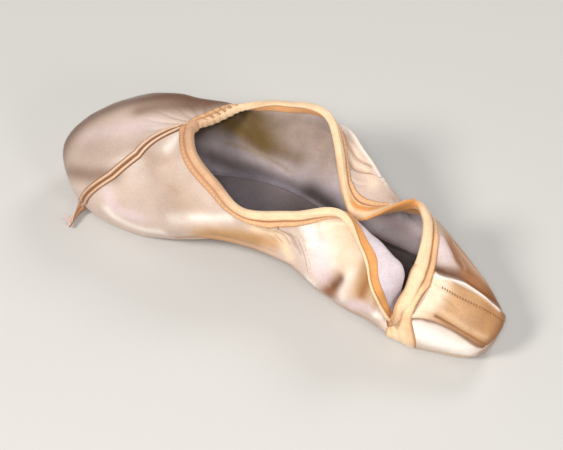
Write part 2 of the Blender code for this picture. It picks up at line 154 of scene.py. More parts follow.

# Creases: depth into the wall and half width in mm, then the path.
# A negative depth is a raised fold.
CREASES = (
    # Toe box
    (1.9, 2.0, TOE_GROOVE),
    (-0.8, 0.9, ((12.95, 4.25), (13.9, 3.3), (14.36, 2.75), (14.62, 2.2))),
    (0.4, 3.5, ((11.2, 2.6), (11.7, 2.25), (12.2, 1.9))),
    (-1.0, 3.6, ((15.6, 4.2), (15.0, 3.9), (14.5, 3.75))),
    (1.3, 1.6, ((16.1, 3.9), (15.55, 3.55), (15.05, 3.25), (14.75, 3.0))),
    (-0.8, 2.6, ((16.0, 3.1), (15.6, 2.8), (15.3, 2.5))),
    (0.8, 1.8, ((16.6, 2.9), (16.1, 2.5), (15.6, 2.1))),
    (0.35, 3.0, ((12.3, 3.7), (12.8, 3.1), (13.3, 2.6))),
    (0.25, 0.6, ((12.7, 3.6), (12.95, 3.2), (13.15, 2.8))),
    # Near wing, its tip and the notch
    (1.2, 2.8, ((6.55, 2.2), (6.72, 2.45), (6.85, 2.75))),
    (0.4, 2.8, ((7.1, 1.6), (7.55, 1.9), (7.95, 2.3))),
    (0.35, 2.6, ((7.8, 3.3), (7.95, 2.7), (8.2, 2.2), (8.6, 1.9))),
    (0.7, 1.5, ((8.6, 3.2), (8.85, 2.6), (9.2, 2.2))),
    (-0.9, 6.5, ((6.3, 3.4), (6.9, 3.4), (7.5, 3.2))),
    (-0.4, 4.5, ((7.2, 2.3), (7.6, 2.5), (8.1, 2.6))),
    (0.9, 1.2, ((9.5, 2.9), (9.9, 2.5), (10.2, 2.1))),
    (-0.8, 1.8, ((9.8, 3.0), (10.15, 2.5))),
    # Cloth pulled at the near side seam
    (0.8, 0.9, NEAR_PULLS[0]),
    (0.6, 0.8, NEAR_PULLS[1]),
    (0.5, 0.9, NEAR_PULLS[2]),
    (0.4, 0.9, ((4.02, 3.6), (4.24, 3.2), (4.57, 2.8), (4.92, 2.5))),
    (0.5, 1.0, ((5.17, 4.3), (5.24, 3.7), (5.4, 3.2), (5.62, 2.8))),
    (0.4, 0.9, ((5.57, 4.3), (5.6, 3.8), (5.72, 3.3))),
    # Near quarter
    (-0.8, 0.9, ((2.6, 1.45), (3.3, 1.6), (4.0, 1.7), (4.7, 1.85), (5.35, 2.0))),
    (0.9, 1.4, ((2.8, 1.15), (3.7, 1.25), (4.7, 1.4), (5.6, 1.55))),
    (0.3, 2.4, ((2.2, 3.5), (2.6, 3.0), (3.1, 2.6), (3.8, 2.4))),
    # Heel and its gathers
    (0.15, 3.0, ((1.5, 4.0), (1.7, 3.2), (1.9, 2.4))),
    (0.4, 8.0, ((1.0, 1.9), (1.7, 1.8), (2.4, 1.7))),
    (0.5, 8.0, ((26.35, 2.7), (26.6, 2.5), (26.85, 2.3))),
    (0.3, 0.8, ((26.75, 4.3), (26.7, 3.9), (26.6, 3.4))),
    (0.3, 0.8, ((26.4, 4.3), (26.3, 3.9), (26.15, 3.3))),
    (0.3, 0.8, ((26.05, 4.3), (25.9, 3.9), (25.7, 3.4))),
    (0.3, 0.8, ((25.65, 4.3), (25.45, 3.9), (25.2, 3.5))),
    (0.25, 0.9, ((25.2, 4.3), (25.0, 3.9), (24.75, 3.6))),
    (0.25, 0.9, ((24.7, 4.3), (24.5, 3.9), (24.3, 3.6))),
    # Far side
    (-0.7, 0.9, ((21.2, 3.1), (20.6, 3.05), (19.9, 3.0), (19.1, 2.9))),
    (0.9, 1.1, FAR_TUCKS[0]),
    (0.7, 0.9, FAR_TUCKS[1]),
    (0.6, 0.9, ((20.95, 3.6), (20.65, 3.4), (20.3, 3.2))),
    (0.5, 0.8, ((20.2, 4.4), (19.9, 4.1), (19.55, 3.8))),
    (0.5, 1.2, ((21.4, 2.6), (20.7, 2.3), (19.9, 2.0))),
    (0.5, 1.3, ((18.7, 3.6), (18.4, 2.9), (18.2, 2.2))),
    (0.6, 1.6, ((17.6, 3.6), (17.3, 2.9), (16.8, 2.3), (16.2, 1.9))),
    (0.7, 4.5, ((22.6, 2.4), (23.4, 2.3), (24.2, 2.3))),
)
SHOULDER, SHOULDER_AT = 0.3, 2.1   # swell beside a crease, as a share of its depth and in half widths
PATH_REACH = np.array([4.0, 2.5])   # sections and spans round a path that it may touch

# Soft waves of the cloth: count, amplitude and shortest and longest wavelength in mm
WAVES = ((14, 0.07, 20.0, 40.0), (18, 0.022, 7.0, 13.0))
# Pleats under the toe: first and last section, pleats in each section, depth
PLEATS_FROM, PLEATS_TO, PLEATS_EACH, PLEAT_DEPTH = 10.6, 17.2, 6.0, 0.00022


def srgb(r, g, b):
    """Linear colour from the eight-bit numbers of a display."""
    c = np.array([r, g, b]) / 255
    return np.where(c <= 0.04045, c / 12.92, ((c + 0.055) / 1.055) ** 2.4)


SATIN_GREY = srgb(204, 182, 168)
SATIN_CREAM = srgb(244, 218, 190)
SATIN_LAVENDER = srgb(222, 200, 202)
# White of the painted highlights, and of painted light on lining that lies in shade
PAINTED_LIGHT_WHITE = srgb(252, 242, 232)
BROWN = srgb(160, 106, 60)
# Brown of the painted shade over the heel cup
HEEL_BROWN = srgb(108, 72, 50)
DEEP_BROWN = srgb(104, 62, 30)
TAN = srgb(196, 150, 104)
PEACH = srgb(232, 184, 134)
PALE_PEACH = srgb(252, 222, 182)
OCHRE = srgb(224, 152, 74)
ORANGE_BROWN = srgb(150, 90, 44)
LINING = srgb(214, 200, 206)
LINING_GREY = srgb(132, 118, 110)
TAPE_TAN = srgb(242, 206, 176)
ROLL_TAN = srgb(192, 140, 104)
ARC_LIGHT = srgb(168, 146, 118)
OLIVE = srgb(114, 88, 44)
# Burnt orange of the painted shade on the far side of the toe box
BURNT = srgb(150, 94, 44)
DARK_OLIVE = srgb(84, 62, 28)
# Mid tone of the painted shade on the heel and near quarter
HEEL_MID = srgb(168, 146, 132)
KHAKI = srgb(172, 132, 84)
# Reddish cream of a painted highlight on the far box's bulge
REDDISH = srgb(226, 178, 146)
INSIDE_WARM = srgb(172, 152, 140)
BLUE_GREY = srgb(136, 130, 140)
# Near-black of the painted shade deep inside the shoe; the sock's stains use it too
INSIDE_DARK = srgb(48, 40, 38)

# Paint strokes: colour, strength, half width in mm, path
SATIN_PAINT = (
    # Heel: brown strokes are painted shade over the top and back of the cup, mid-tone strokes painted shade
    # on its sides, white strokes painted highlights
    (HEEL_BROWN, 0.85, 7.5, ((26.3, 2.1), (25.9, 2.5), (25.4, 3.0), (24.8, 3.4), (24.2, 3.6))),
    (HEEL_BROWN, 0.9, 5.5, ((26.0, 2.2), (25.3, 2.8), (24.6, 3.1), (23.8, 3.2), (23.0, 3.2))),
    (HEEL_BROWN, 0.6, 4.0, ((25.9, 3.3), (25.4, 3.6), (24.9, 3.8))),
    (SATIN_LAVENDER, 0.55, 4.5, ((26.4, 2.6), (26.5, 3.1), (26.4, 3.6))),
    (HEEL_BROWN, 0.7, 4.2, ((26.6, 2.0), (26.9, 2.3), (27.2, 2.5), (27.5, 2.7))),
    (BROWN, 0.45, 3.0, ((27.3, 3.3), (27.7, 3.3), (28.1, 3.2))),
    (HEEL_MID, 0.55, 9.0, ((1.2, 3.3), (1.7, 3.0), (2.2, 2.7))),
    (PAINTED_LIGHT_WHITE, 0.65, 3.0, ((0.45, 4.3), (0.6, 4.1), (0.8, 3.8))),
    (HEEL_MID, 0.55, 9.0, ((26.6, 2.6), (26.9, 2.9), (27.2, 3.1))),
    (SATIN_LAVENDER, 0.75, 4.0, ((0.7, 2.4), (1.1, 2.2), (1.6, 2.2))),
    (PAINTED_LIGHT_WHITE, 0.7, 2.6, ((0.9, 2.1), (1.5, 1.8), (2.1, 1.8))),
    (TAN, 0.22, 6.5, ((1.3, 3.6), (1.8, 3.3), (2.3, 2.9), (2.7, 2.7))),
    # Near quarter: white strokes are a painted highlight band, with tan and khaki painted shade below it
    # where the wall turns under
    (PAINTED_LIGHT_WHITE, 0.4, 3.4, ((2.3, 2.4), (2.8, 2.5), (3.3, 2.7), (3.6, 3.0))),
    (PAINTED_LIGHT_WHITE, 0.55, 1.7, ((2.7, 2.5), (3.1, 2.62), (3.4, 2.85), (3.62, 3.15))),
    (TAN, 0.95, 4.6, ((2.9, 1.75), (3.5, 2.0), (4.1, 2.35), (4.7, 2.6))),
    (KHAKI, 0.8, 3.4, ((3.2, 1.9), (3.7, 2.1), (4.3, 2.4))),
    (PALE_PEACH, 0.6, 2.6, ((4.3, 3.8), (4.6, 3.3), (4.9, 2.8), (5.2, 2.3))),
    # Painted shade in the creases pulled at the near side seam
    (DEEP_BROWN, 0.42, 0.5, NEAR_PULLS[0]),
    (DEEP_BROWN, 0.35, 0.4, NEAR_PULLS[1]),
    (DEEP_BROWN, 0.3, 0.4, NEAR_PULLS[2]),
    # Near wing: cream and white strokes are painted light and painted highlights over its upper part and
    # edges, brown strokes painted shade in its dent
    (PAINTED_LIGHT_WHITE, 0.7, 2.2, ((5.9, 1.95), (6.2, 1.9), (6.5, 1.85))),
    (SATIN_CREAM, 1.0, 9.0, ((5.8, 3.6), (6.4, 3.3), (7.0, 3.0), (7.6, 2.9))),
    (PAINTED_LIGHT_WHITE, 0.45, 6.0, ((5.5, 3.8), (5.9, 3.2), (6.2, 2.6))),
    (SATIN_LAVENDER, 0.85, 4.2, ((5.75, 3.1), (6.05, 2.7), (6.4, 2.4), (6.9, 2.0))),
    (PAINTED_LIGHT_WHITE, 0.9, 2.8, ((5.3, 4.1), (5.45, 3.5), (5.65, 3.0))),
    (TAN, 0.45, 3.0, ((5.9, 4.2), (6.3, 4.2), (6.8, 4.1))),
    (BROWN, 0.7, 4.2, ((6.62, 1.95), (6.75, 2.25), (6.85, 2.55))),
    (DEEP_BROWN, 0.95, 2.6, ((6.7, 2.02), (6.78, 2.25), (6.88, 2.55))),
    (BROWN, 0.55, 3.0, ((6.35, 1.7), (6.6, 1.9), (6.8, 2.1))),
    (PAINTED_LIGHT_WHITE, 0.55, 2.4, ((7.05, 2.9), (7.15, 2.5), (7.3, 2.1))),
    # Toward the notch: brown strokes are painted shade in the folds, white strokes painted highlights
    (TAN, 0.95, 4.4, ((7.1, 4.3), (7.4, 3.8), (7.65, 3.2), (7.85, 2.8), (8.0, 2.5))),
    (KHAKI, 0.7, 3.6, ((7.05, 4.1), (7.25, 3.6), (7.5, 3.1), (7.8, 2.7))),
    (BROWN, 0.7, 1.8, ((7.75, 3.2), (7.85, 2.8), (7.95, 2.5))),
    (SATIN_LAVENDER, 0.85, 2.8, ((7.6, 2.0), (8.1, 2.2), (8.6, 2.3))),
    (TAN, 0.8, 2.2, ((8.3, 3.2), (8.6, 2.8), (8.9, 2.6))),
    (BROWN, 0.8, 1.3, ((8.9, 3.2), (9.3, 3.0), (9.7, 3.1))),
    (PAINTED_LIGHT_WHITE, 0.9, 1.8, ((9.1, 2.3), (9.4, 2.45), (9.8, 2.6))),
    # Near side of the toe box: a broad painted highlight, and painted shadow along the strip's near edge
    (PAINTED_LIGHT_WHITE, 1.0, 6.0, ((11.0, 2.7), (11.5, 2.4), (12.0, 2.0), (12.6, 1.6))),
    (PALE_PEACH, 0.8, 1.3, ((10.9, 1.25), (11.5, 1.15), (12.1, 1.1), (12.6, 1.1))),
    (DEEP_BROWN, 0.85, 0.9, ((11.02, 3.7), (11.5, 3.0), (11.98, 2.75), (12.46, 2.47), (12.94, 2.0))),
    # Far side of the toe box: tan and burnt strokes are painted shade, with deep brown painted shade in its
    # groove, a reddish painted highlight on its bulge and a white painted highlight on the ridge
    (TAN, 0.8, 9.0, ((17.0, 3.4), (16.4, 3.0), (15.8, 2.8), (15.2, 2.7), (14.8, 2.4))),
    (BURNT, 0.75, 6.0, ((16.0, 3.1), (15.6, 2.7), (15.2, 2.4), (14.9, 2.1))),
    (SATIN_LAVENDER, 0.8, 3.6, ((15.3, 4.3), (14.9, 3.9), (14.5, 3.8))),
    (DEEP_BROWN, 0.95, 2.4, TOE_GROOVE),
    (BURNT, 0.95, 3.2, ((15.6, 3.5), (15.1, 3.2), (14.8, 2.9), (14.75, 2.5))),
    (REDDISH, 0.7, 1.8, ((15.9, 3.2), (15.55, 2.9), (15.3, 2.6))),
    (BURNT, 0.85, 2.8, ((16.8, 2.9), (16.2, 2.4), (15.6, 2.0), (15.2, 1.7))),
    (PAINTED_LIGHT_WHITE, 1.0, 0.8, ((12.95, 4.25), (13.9, 3.3), (14.36, 2.75), (14.6, 2.3))),
    (BROWN, 0.85, 3.6, ((13.2, 1.3), (13.8, 1.5), (14.4, 1.6), (15.0, 1.5))),
    (TAN, 0.7, 4.5, ((17.6, 3.4), (17.3, 2.7), (16.8, 2.0))),
    # Far side: a white painted highlight on the raised fold and brown painted shade in the tucks
    (PAINTED_LIGHT_WHITE, 0.7, 1.2, ((21.2, 3.1), (20.5, 3.0), (19.8, 3.0), (19.1, 2.9))),
    (SATIN_CREAM, 0.6, 3.0, ((20.4, 3.6), (19.9, 3.5), (19.4, 3.5))),
    (BROWN, 0.55, 0.8, FAR_TUCKS[0]),
    (BROWN, 0.5, 0.7, FAR_TUCKS[1]),
    # Darker bands along the foot of the wall, partly dirt and partly painted shade where the cloth turns
    # under
    (TAN, 0.45, 2.0, ((10.9, 0.9), (11.5, 0.8), (13.0, 0.8), (15.0, 0.8), (17.0, 0.9))),
    (BROWN, 0.5, 2.2, ((26.8, 1.0), (25.5, 1.0), (24.0, 1.0), (22.0, 1.0), (20.0, 1.0), (18.0, 1.0))),
    (BROWN, 0.6, 1.6, ((0.4, 1.0), (2.0, 1.0), (4.0, 1.0), (6.0, 1.0), (8.0, 1.0), (9.6, 1.0))),
    (BROWN, 0.65, 1.3, ((2.4, 1.45), (3.4, 1.6), (4.5, 1.75), (5.3, 1.8), (5.9, 1.6))),
    (BROWN, 0.6, 1.3, ((6.4, 1.45), (7.2, 1.5), (8.2, 1.55), (9.3, 1.7))),
    (TAN, 0.7, 1.0, ((11.0, 1.35), (11.6, 1.3), (12.2, 1.25), (12.7, 1.2))),
)
# Strip paint: paler near the throat and darker toward the toe; a white painted highlight on the far ridge, a
# pale painted highlight by the near edge and painted shade along that edge
STRIP_PAINT = (
    (SATIN_CREAM, 1.0, 6.5, ((11.4, 3.9), (12.2, 4.0), (12.9, 4.1))),
    (SATIN_CREAM, 0.85, 3.5, ((12.0, 3.5), (12.6, 3.55), (13.2, 3.6))),
    (BROWN, 0.45, 5.0, ((12.6, 2.3), (13.3, 2.4), (14.2, 2.5))),
    (BROWN, 0.75, 4.0, ((13.0, 1.9), (13.8, 2.0), (14.7, 2.1))),
    (DEEP_BROWN, 0.5, 1.2, ((12.0, 2.95), (12.5, 2.5), (13.05, 2.05))),
    (PALE_PEACH, 0.25, 1.2, ((12.4, 2.95), (12.9, 2.55), (13.35, 2.2))),
    (DEEP_BROWN, 0.5, 3.0, ((13.2, 1.75), (13.9, 1.8), (14.7, 1.9))),
    (PAINTED_LIGHT_WHITE, 0.95, 0.7, ((13.0, 4.2), (13.86, 3.3), (14.32, 2.75), (14.58, 2.3))),
)
# Lining paint: olive stains toward the heel, dark olive where painted shade falls on them; grey strokes
# darken its back and lower parts; near-black strokes are painted shade deep in the heel and toward the toe;
# brown under the far wing is painted shade; white and lavender strokes there are painted light on lining that
# lies in shade
LINING_PAINT = (
    (LINING_GREY, 0.95, 13.0, ((0.5, 2.5), (-0.5, 3.0), (-2.0, 3.2), (-3.5, 3.0))),
    (LINING_GREY, 0.7, 9.0, ((2.0, 2.2), (4.0, 2.0), (5.2, 2.0))),
    (INSIDE_WARM, 0.95, 12.0, ((23.4, 3.2), (22.4, 3.0), (21.6, 2.8), (21.0, 2.5))),
    (OLIVE, 1.0, 8.5, ((25.4, 3.5), (24.4, 3.0), (23.6, 2.65), (22.8, 2.45), (22.2, 2.35))),
    (OLIVE, 0.75, 6.0, ((22.2, 2.35), (21.8, 2.28), (21.45, 2.2))),
    (OLIVE, 0.85, 6.5, ((24.4, 3.8), (23.4, 3.6), (22.6, 3.3), (22.1, 3.0))),
    (OLIVE, 0.6, 3.0, ((22.6, 3.7), (22.1, 3.8), (21.7, 4.1))),
    (INSIDE_WARM, 0.8, 9.0, ((21.9, 3.3), (21.5, 3.0), (21.1, 2.6), (20.8, 2.3))),
    (INSIDE_DARK, 1.0, 7.0, ((25.8, 2.6), (25.2, 2.2), (24.6, 1.9))),
    (DARK_OLIVE, 0.95, 9.0, ((25.6, 3.8), (25.0, 3.3), (24.3, 2.8), (23.6, 2.4))),
    (DARK_OLIVE, 0.85, 7.0, ((24.0, 3.7), (23.6, 3.1), (23.3, 2.6))),
    (OLIVE, 0.85, 6.5, ((23.3, 3.2), (22.8, 2.9), (22.3, 2.6))),
    (LINING_GREY, 0.7, 6.0, ((23.2, 1.6), (22.2, 1.4), (21.2, 1.3))),
    (DARK_OLIVE, 0.9, 8.0, ((25.4, 3.0), (24.8, 2.6), (24.2, 2.3), (23.7, 2.1))),
    (INSIDE_DARK, 0.55, 4.5, ((24.4, 1.8), (23.2, 1.5), (22.2, 1.3), (21.2, 1.2), (20.2, 1.2))),
    (BLUE_GREY, 0.8, 5.0, ((23.6, 0.8), (22.5, 0.8), (21.3, 0.7))),
    (ARC_LIGHT, 0.7, 1.1, ((23.0, 2.05), (22.35, 2.0), (21.95, 1.92), (21.5, 1.8))),
    (INSIDE_DARK, 0.9, 8.0, ((20.9, 1.5), (20.2, 1.4), (19.8, 1.2))),
    (BROWN, 0.8, 3.0, ((18.9, 1.1), (18.2, 1.0), (17.4, 1.0))),
    (INSIDE_DARK, 1.0, 4.0, ((19.6, 0.7), (18.2, 0.7), (16.6, 0.7), (14.6, 0.9), (12.0, 0.8))),
    (INSIDE_DARK, 0.9, 6.0, ((15.0, 2.0), (14.0, 2.0), (13.0, 2.0), (12.4, 2.0))),
    (PAINTED_LIGHT_WHITE, 0.9, 8.0, ((18.9, 2.3), (18.3, 2.1), (17.7, 2.0), (17.0, 2.1))),
    (SATIN_LAVENDER, 0.95, 6.0, ((18.7, 2.2), (18.2, 2.0), (17.6, 1.9), (17.0, 2.0))),
)

# Cross-section of the binding: share of its width back from the edge, lift in mm, outside then inside
BINDING_OUT = ((1.0, 0.05), (1.0, 0.4), (0.96, 0.6), (0.88, 0.68), (0.78, 0.66), (0.68, 0.68), (0.61, 0.58),
               (0.57, 0.36), (0.545, 0.26), (0.52, 0.38), (0.47, 0.72), (0.39, 0.98), (0.28, 1.12),
               (0.17, 1.1), (0.07, 0.98))
BINDING_IN = ((0.05, 0.8), (0.11, 0.84), (0.17, 0.68), (0.21, 0.42), (0.24, 0.3), (0.29, 0.42), (0.4, 0.52),
              (0.6, 0.5), (0.85, 0.52), (0.95, 0.44), (1.0, 0.05))
BEND = np.array([75, 50, 25, 0, -25, -50, -75])     # degrees round the folded edge, outer side first
# Tables round the shoe: section, then value
GATHERS = ((22.0, 0.0), (22.7, 0.15), (23.3, 0.75), (24.0, 0.95), (24.7, 0.85), (25.5, 0.45), (26.7, 0.25),
           (27.6, 0.1), (29.0, 0.0))
GATHERS_END = 2.2                   # section on the near side where the heel's gathers have died out
GATHER_STEP, PUCKER_STEP = 0.0031, 0.0013
# Reach of the binding's inner side, as a share of its width, and how deep its colour is there
INNER_REACH = ((0.0, 0.6), (4.8, 0.7), (6.0, 0.85), (9.3, 0.85), (10.2, 0.7), (11.5, 0.75), (16.0, 0.9),
               (17.0, 1.3), (19.6, 1.35), (20.4, 0.9), (21.5, 0.7), (27.0, 0.6))
INNER_TONE = ((0.0, 0.35), (4.8, 0.5), (6.0, 0.9), (9.3, 0.9), (11.0, 0.45), (16.0, 0.6), (17.0, 1.0),
              (19.8, 1.0), (20.6, 0.5), (27.0, 0.35))
# How far the folded edge of the binding reaches past the cloth, in mm
OVERHANG = ((0.0, 0.0), (10.1, 0.0), (10.6, 1.4), (11.2, 2.9), (12.0, 3.2), (13.0, 2.8), (14.0, 2.1),
            (15.0, 1.4), (15.9, 1.0), (16.5, 1.6), (17.0, 3.0), (17.6, 4.8), (18.3, 5.8), (19.1, 5.2),
            (19.7, 2.8), (20.2, 0.8), (20.7, 0.0), (27.0, 0.0))
# Where the folded edge droops past the cloth, its lower side is painted darker, as shade
OVERHANG_FULL = 3.0                 # mm past the cloth at which the folded edge is thin and dark
# Share of the deeper tan in the binding
ROLL_TONE = ((0.0, 0.85), (3.2, 0.8), (4.3, 0.15), (8.5, 0.15), (10.5, 0.2), (16.0, 0.25), (21.0, 0.3),
             (24.0, 0.35), (27.0, 0.75))
ROLL_STRENGTH, BAND_ROLL = 0.9, 0.16
# The ochre and brown that the next two lines give the binding are painted shade
FOLDED = (17.0, 20.2, 0.8, 0.6)     # sections where the far fold turns the binding over, and their fades
FAR_SIDE = (16.5, 20.5)             # sections whose folded edge turns ochre; elsewhere it turns brown
NOSE_START, NOSE_UNDER = -0.34, 26.98       # the binding's near end laps over its far end at the back seam
NOSE_LIFT, NOSE_ROUND = 0.001, 0.0024
HIDDEN, HIDDEN_FADE, HIDDEN_HIGH = (10.15, 12.5), 0.35, 0.00005    # part under the throat band's end
# Brown lines along the binding's grooves and edges, partly the dark lines of the sewing and partly painted
# shade: share of the width, half width, strength
OUTER_LINES, INNER_LINES = ((0.55, 0.06, 1.0), (1.0, 0.06, 0.9)), ((0.24, 0.04, 0.8), (1.0, 0.04, 0.6))
BAND_LINES = ((1.0, 0.05, 0.7), (0.0, 0.05, 0.6))

# Tape over the back seam: lift in mm of its lanes, then its loose tail from the end up
TAPE_RIDGE = np.array([0.1, 0.42, 0.62, 0.7, 0.66, 0.52, 0.25, 0.05, 0.25, 0.52, 0.66, 0.7, 0.62, 0.42, 0.1])
TAPE_SPANS, TAPE_NARROW = (1.0, 4.55, 130), 0.78
TAPE_HIGH, TAPE_LIFT, TAPE_THICK, TAIL_THICK = 1.1, 0.25, 0.9, 0.45
# Place of the tail's middle in shares of the shoe's sizes, share of the tape's width, twist in radians
TAPE_TAIL = (((-0.421, -1.27, 0.046), 0.34, 0.77), ((-0.4225, -1.16, 0.05), 0.45, 0.63),
             ((-0.4255, -1.02, 0.062), 0.62, 0.42), ((-0.426, -0.9, 0.08), 0.85, 0.175),
             ((-0.4235, -0.82, 0.105), 1.0, 0.0))
# Loose threads: root, count, then the ranges of start, direction and length, in mm
FRAYED_ROOT, FRAYED_COUNT = (-0.4212, -1.25, 0.048), 16
FRAYED_START, FRAYED_WAY = ((-1.4, 0.8), (0, 5.5), (-0.2, 0.9)), ((-1.3, 0.1), (-1.0, 0.7), (-0.1, 0.5))
FRAYED_LONG, FRAYED_LOWEST = (1.8, 4.2), 0.35

# Vamp strip: sections of its two edges from throat to toe, start below the binding, top above the satin
VAMP_NEAR, VAMP_FAR = (11.02, 12.94), (13.38, 14.86)
STRIP_CLEAR, STRIP_HIGH, STRIP_END = 0.0004, 0.0011, 1.03
STRIP_STITCHES = (((0.1, 0.15), 0.34), ((0.8, 0.745), 0.16))      # lanes of a stitch's ends, first place down
STITCHES_A_SIDE, LAST_STITCH, STITCH_SLANT, STITCH_ARC, STITCH_SUNK = 24, 0.97, 0.018, 0.38, 0.30
STRIP_ROWS, STRIP_LANES, STRIP_EDGE, STRIP_ROUND = 90, 48, 0.1, 0.05
# Lines under the stitches: lane, half width, depth in mm
STRIP_SUNK = ((0.77, 0.02, 0.35), (0.125, 0.025, 0.3))

# Near end of the throat band, from the sole up over the notch: span and section of its two edges, added lift
# and reach past the cloth's edge in mm
BAND_END = ((1.0, 9.8, 1.0, 10.98, 0.0, 0.0), (2.0, 9.84, 2.0, 11.02, 0.05, 0.0),
            (3.0, 9.8, 3.0, 11.1, 0.25, 0.0), (3.9, 9.72, 3.72, 11.22, 0.7, 0.0),
            (4.6, 9.72, 4.02, 11.36, 0.9, 1.0), (5.0, 10.1, 4.16, 11.62, 0.8, 3.4),
            (5.0, 10.85, 4.16, 11.92, 0.5, 5.6), (5.0, 11.6, 4.1, 12.2, 0.26, 4.8),
            (5.0, 12.2, 4.04, 12.42, 0.12, 3.8), (5.0, 12.55, 4.02, 12.62, 0.08, 3.1),
            (5.0, 12.72, 4.02, 12.76, -0.3, 3.0), (5.0, 12.86, 4.02, 12.9, -1.0, 3.0))
BAND_HIGH, BAND_ROUND, BAND_DROOP, BAND_LANES = 0.62, 0.09, 0.3, 40

# Threads: radius in mm and colour
THREADS = {
    "frayed_ends": (0.17, srgb(238, 200, 186)),
    "whip_stitches": (0.24, srgb(156, 102, 58)),
    "binding_stitches": (0.13, srgb(250, 214, 168)),
    "seam_stitches": (0.15, srgb(214, 184, 160)),
}
# Running stitches: length, gap, height above the cloth and depth of the ends below it
BINDING_STITCH, SEAM_STITCH = (0.0011, 0.001, 0.00016, 0.00018), (0.0012, 0.0009, 0.00022, 0.00015)
BINDING_STITCH_AT, BINDING_STITCH_HIGH = 0.76, 0.64     # share of the binding's width, mm above the cloth
BINDING_STITCH_TURNS = (0.2, 26.6, 2400)
# Stitched seams: seam, sections aside, first and last span
STITCHED, SEAM_STITCH_HIGH = ((NEAR_SEAM, 0.12, 2.0, 4.1), (FAR_SEAM, -0.14, 1.3, 4.1)), 0.12

# Patches on the flat soles: colour, strength, middle and half sizes in metres before seating
SOLE_PAINT = (
    (DEEP_BROWN, 0.6, (0.062, -0.004), (0.03, 0.016)),
    (DEEP_BROWN, 0.55, (-0.085, -0.006), (0.02, 0.014)),
    (TAN, 0.5, (-0.02, 0.0), (0.03, 0.01)),
)
# Sock paint: the near-black patches at the heel and toe are painted shade deep inside the shoe
SOCK_PAINT = (
    (INSIDE_DARK, 0.7, (-0.085, -0.006), (0.02, 0.016)),
    (BLUE_GREY, 0.8, (-0.03, 0.002), (0.03, 0.014)),
    (INSIDE_DARK, 1.0, (0.02, 0.002), (0.026, 0.02)),
    (INSIDE_DARK, 1.0, (0.07, -0.002), (0.044, 0.024)),
)

# Cloths: roughness, mottling and its size, stain and its amount, weave, its thread size and bump, sheen, and
# where it isn't plain the anisotropy and specular level
CLOTHS = (
    ("satin", 0.43, 0.07, 0.016, BROWN, 0.22, "threads", 0.00035, 0.35, 0.12, 0.45, 0.55),
    ("lining", 0.88, 0.14, 0.01, OLIVE, 0.35, "plain", 0.0006, 0.5, 0.05),
    ("binding", 0.62, 0.08, 0.006, ORANGE_BROWN, 0.3, "threads", 0.0004, 0.5, 0.35),
    ("tape", 0.55, 0.08, 0.006, BROWN, 0.3, "threads", 0.0004, 0.5, 0.3),
    ("worn_satin", 0.48, 0.1, 0.007, DEEP_BROWN, 0.35, "threads", 0.0005, 0.6, 0.2, 0.0, 0.55),
    ("sole_leather", 0.72, 0.14, 0.012, DEEP_BROWN, 0.55, "threads", 0.0012, 0.8, 0.1),
    ("sock", 0.88, 0.16, 0.011, INSIDE_DARK, 0.5, "plain", 0.0008, 0.5, 0.15),
    ("thread", 0.6, 0.05, 0.004, TAN, 0.2, "threads", 0.0004, 0.3, 0.2),
)
SOLE_STATIONS, SOLE_LANES = 150, 40
OUTSOLE_TONE, OUTSOLE_ROUND = srgb(168, 128, 92), 0.0009
SOCK_TONE, SOCK_ROUND = srgb(126, 114, 112), 0.0008
SHEEN_TONE, SHEEN_ROUGH, ROUGH_SPREAD = (1.0, 0.93, 0.86, 1.0), 0.35, 0.08
GRAIN, GRAIN_DEPTH = 0.0007, 0.07
SPOTS, SPOTS_FROM, SPOTS_FULL = 2.7, 0.56, 0.8     # stains: size against the mottling, noise where they show
WEAVE_HIGH, MOTTLE_HIGH, MOTTLE_BUMP = 0.0003, 0.0008, 0.25

# Camera and light
VIEW_AZIMUTH, VIEW_ELEVATION, VIEW_DISTANCE = 28.0, 50.0, 0.85
VIEW_FROM, VIEW_TO = (0.00177, 0.00481, 0.022), (0.0, -0.002, 0.018)
LENS, SENSOR = 118.0, 36.0
# Area lights: name, place, power in watts, side in metres, colour
LIGHTS = (
    ("key", (-0.45, -0.80, 0.90), 10.2, 0.34, (1.0, 0.96, 0.90)),
    ("back", (0.20, 0.95, 0.80), 5.0, 0.40, (1.0, 0.98, 0.95)),
    ("side", (1.05, -0.45, 0.70), 3.6, 0.36, (1.0, 0.98, 0.96)),
    ("front", (0.28, -0.55, 0.82), 4.2, 0.16, (1.0, 0.98, 0.96)),
)
LIT_POINT = (0, 0, 0.02)
SKY, SKY_STRENGTH = (0.96, 0.97, 1.0, 1.0), 0.20
FLOOR_TONE, FLOOR_HALF = (0.62, 0.61, 0.59, 1.0), 6.0


def ease(x):
    """Smooth step from 0 to 1."""
    x = np.clip(x, 0, 1)
    return x * x * (3 - 2 * x)


def between(x, start, stop, rise, fall):
    """1 between two values of x, easing to 0 at both, over the given lengths."""
    return ease((x - start) / rise) * ease((stop - x) / fall)


def bell(x, middle, width):
    """1 at the middle, falling to 0 on both sides."""
    return np.exp(-((x - middle) / width)**2)


def rounded(x):
    """Quarter circle that rises steeply from 0 and levels out at 1."""
    return np.sqrt(np.clip(1 - (1 - np.clip(x, 0, 1))**2, 0, 1))


def mixed(start, end, share):
    return start + (end - start) * share


def lines_at(lines, x):
    """Strength of a set of lines at x."""
    return sum(strength * bell(x, middle, width) for middle, width, strength in lines)


def tinted(colour, tone, share):
    """A colour moved toward a tone by a share given for every point."""
    return mixed(colour, tone, np.asarray(share)[..., None])


def unit(vectors):
    return vectors / np.linalg.norm(vectors, axis=-1, keepdims=True)


def table_at(table, x):
    """Value of a table of pairs at x."""
    return np.interp(x, *np.array(table).T)


def run_along(points):
    """Way from the first of some points to each of them."""
    return np.append(0, np.cumsum(np.linalg.norm(np.diff(points, axis=0), axis=1)))


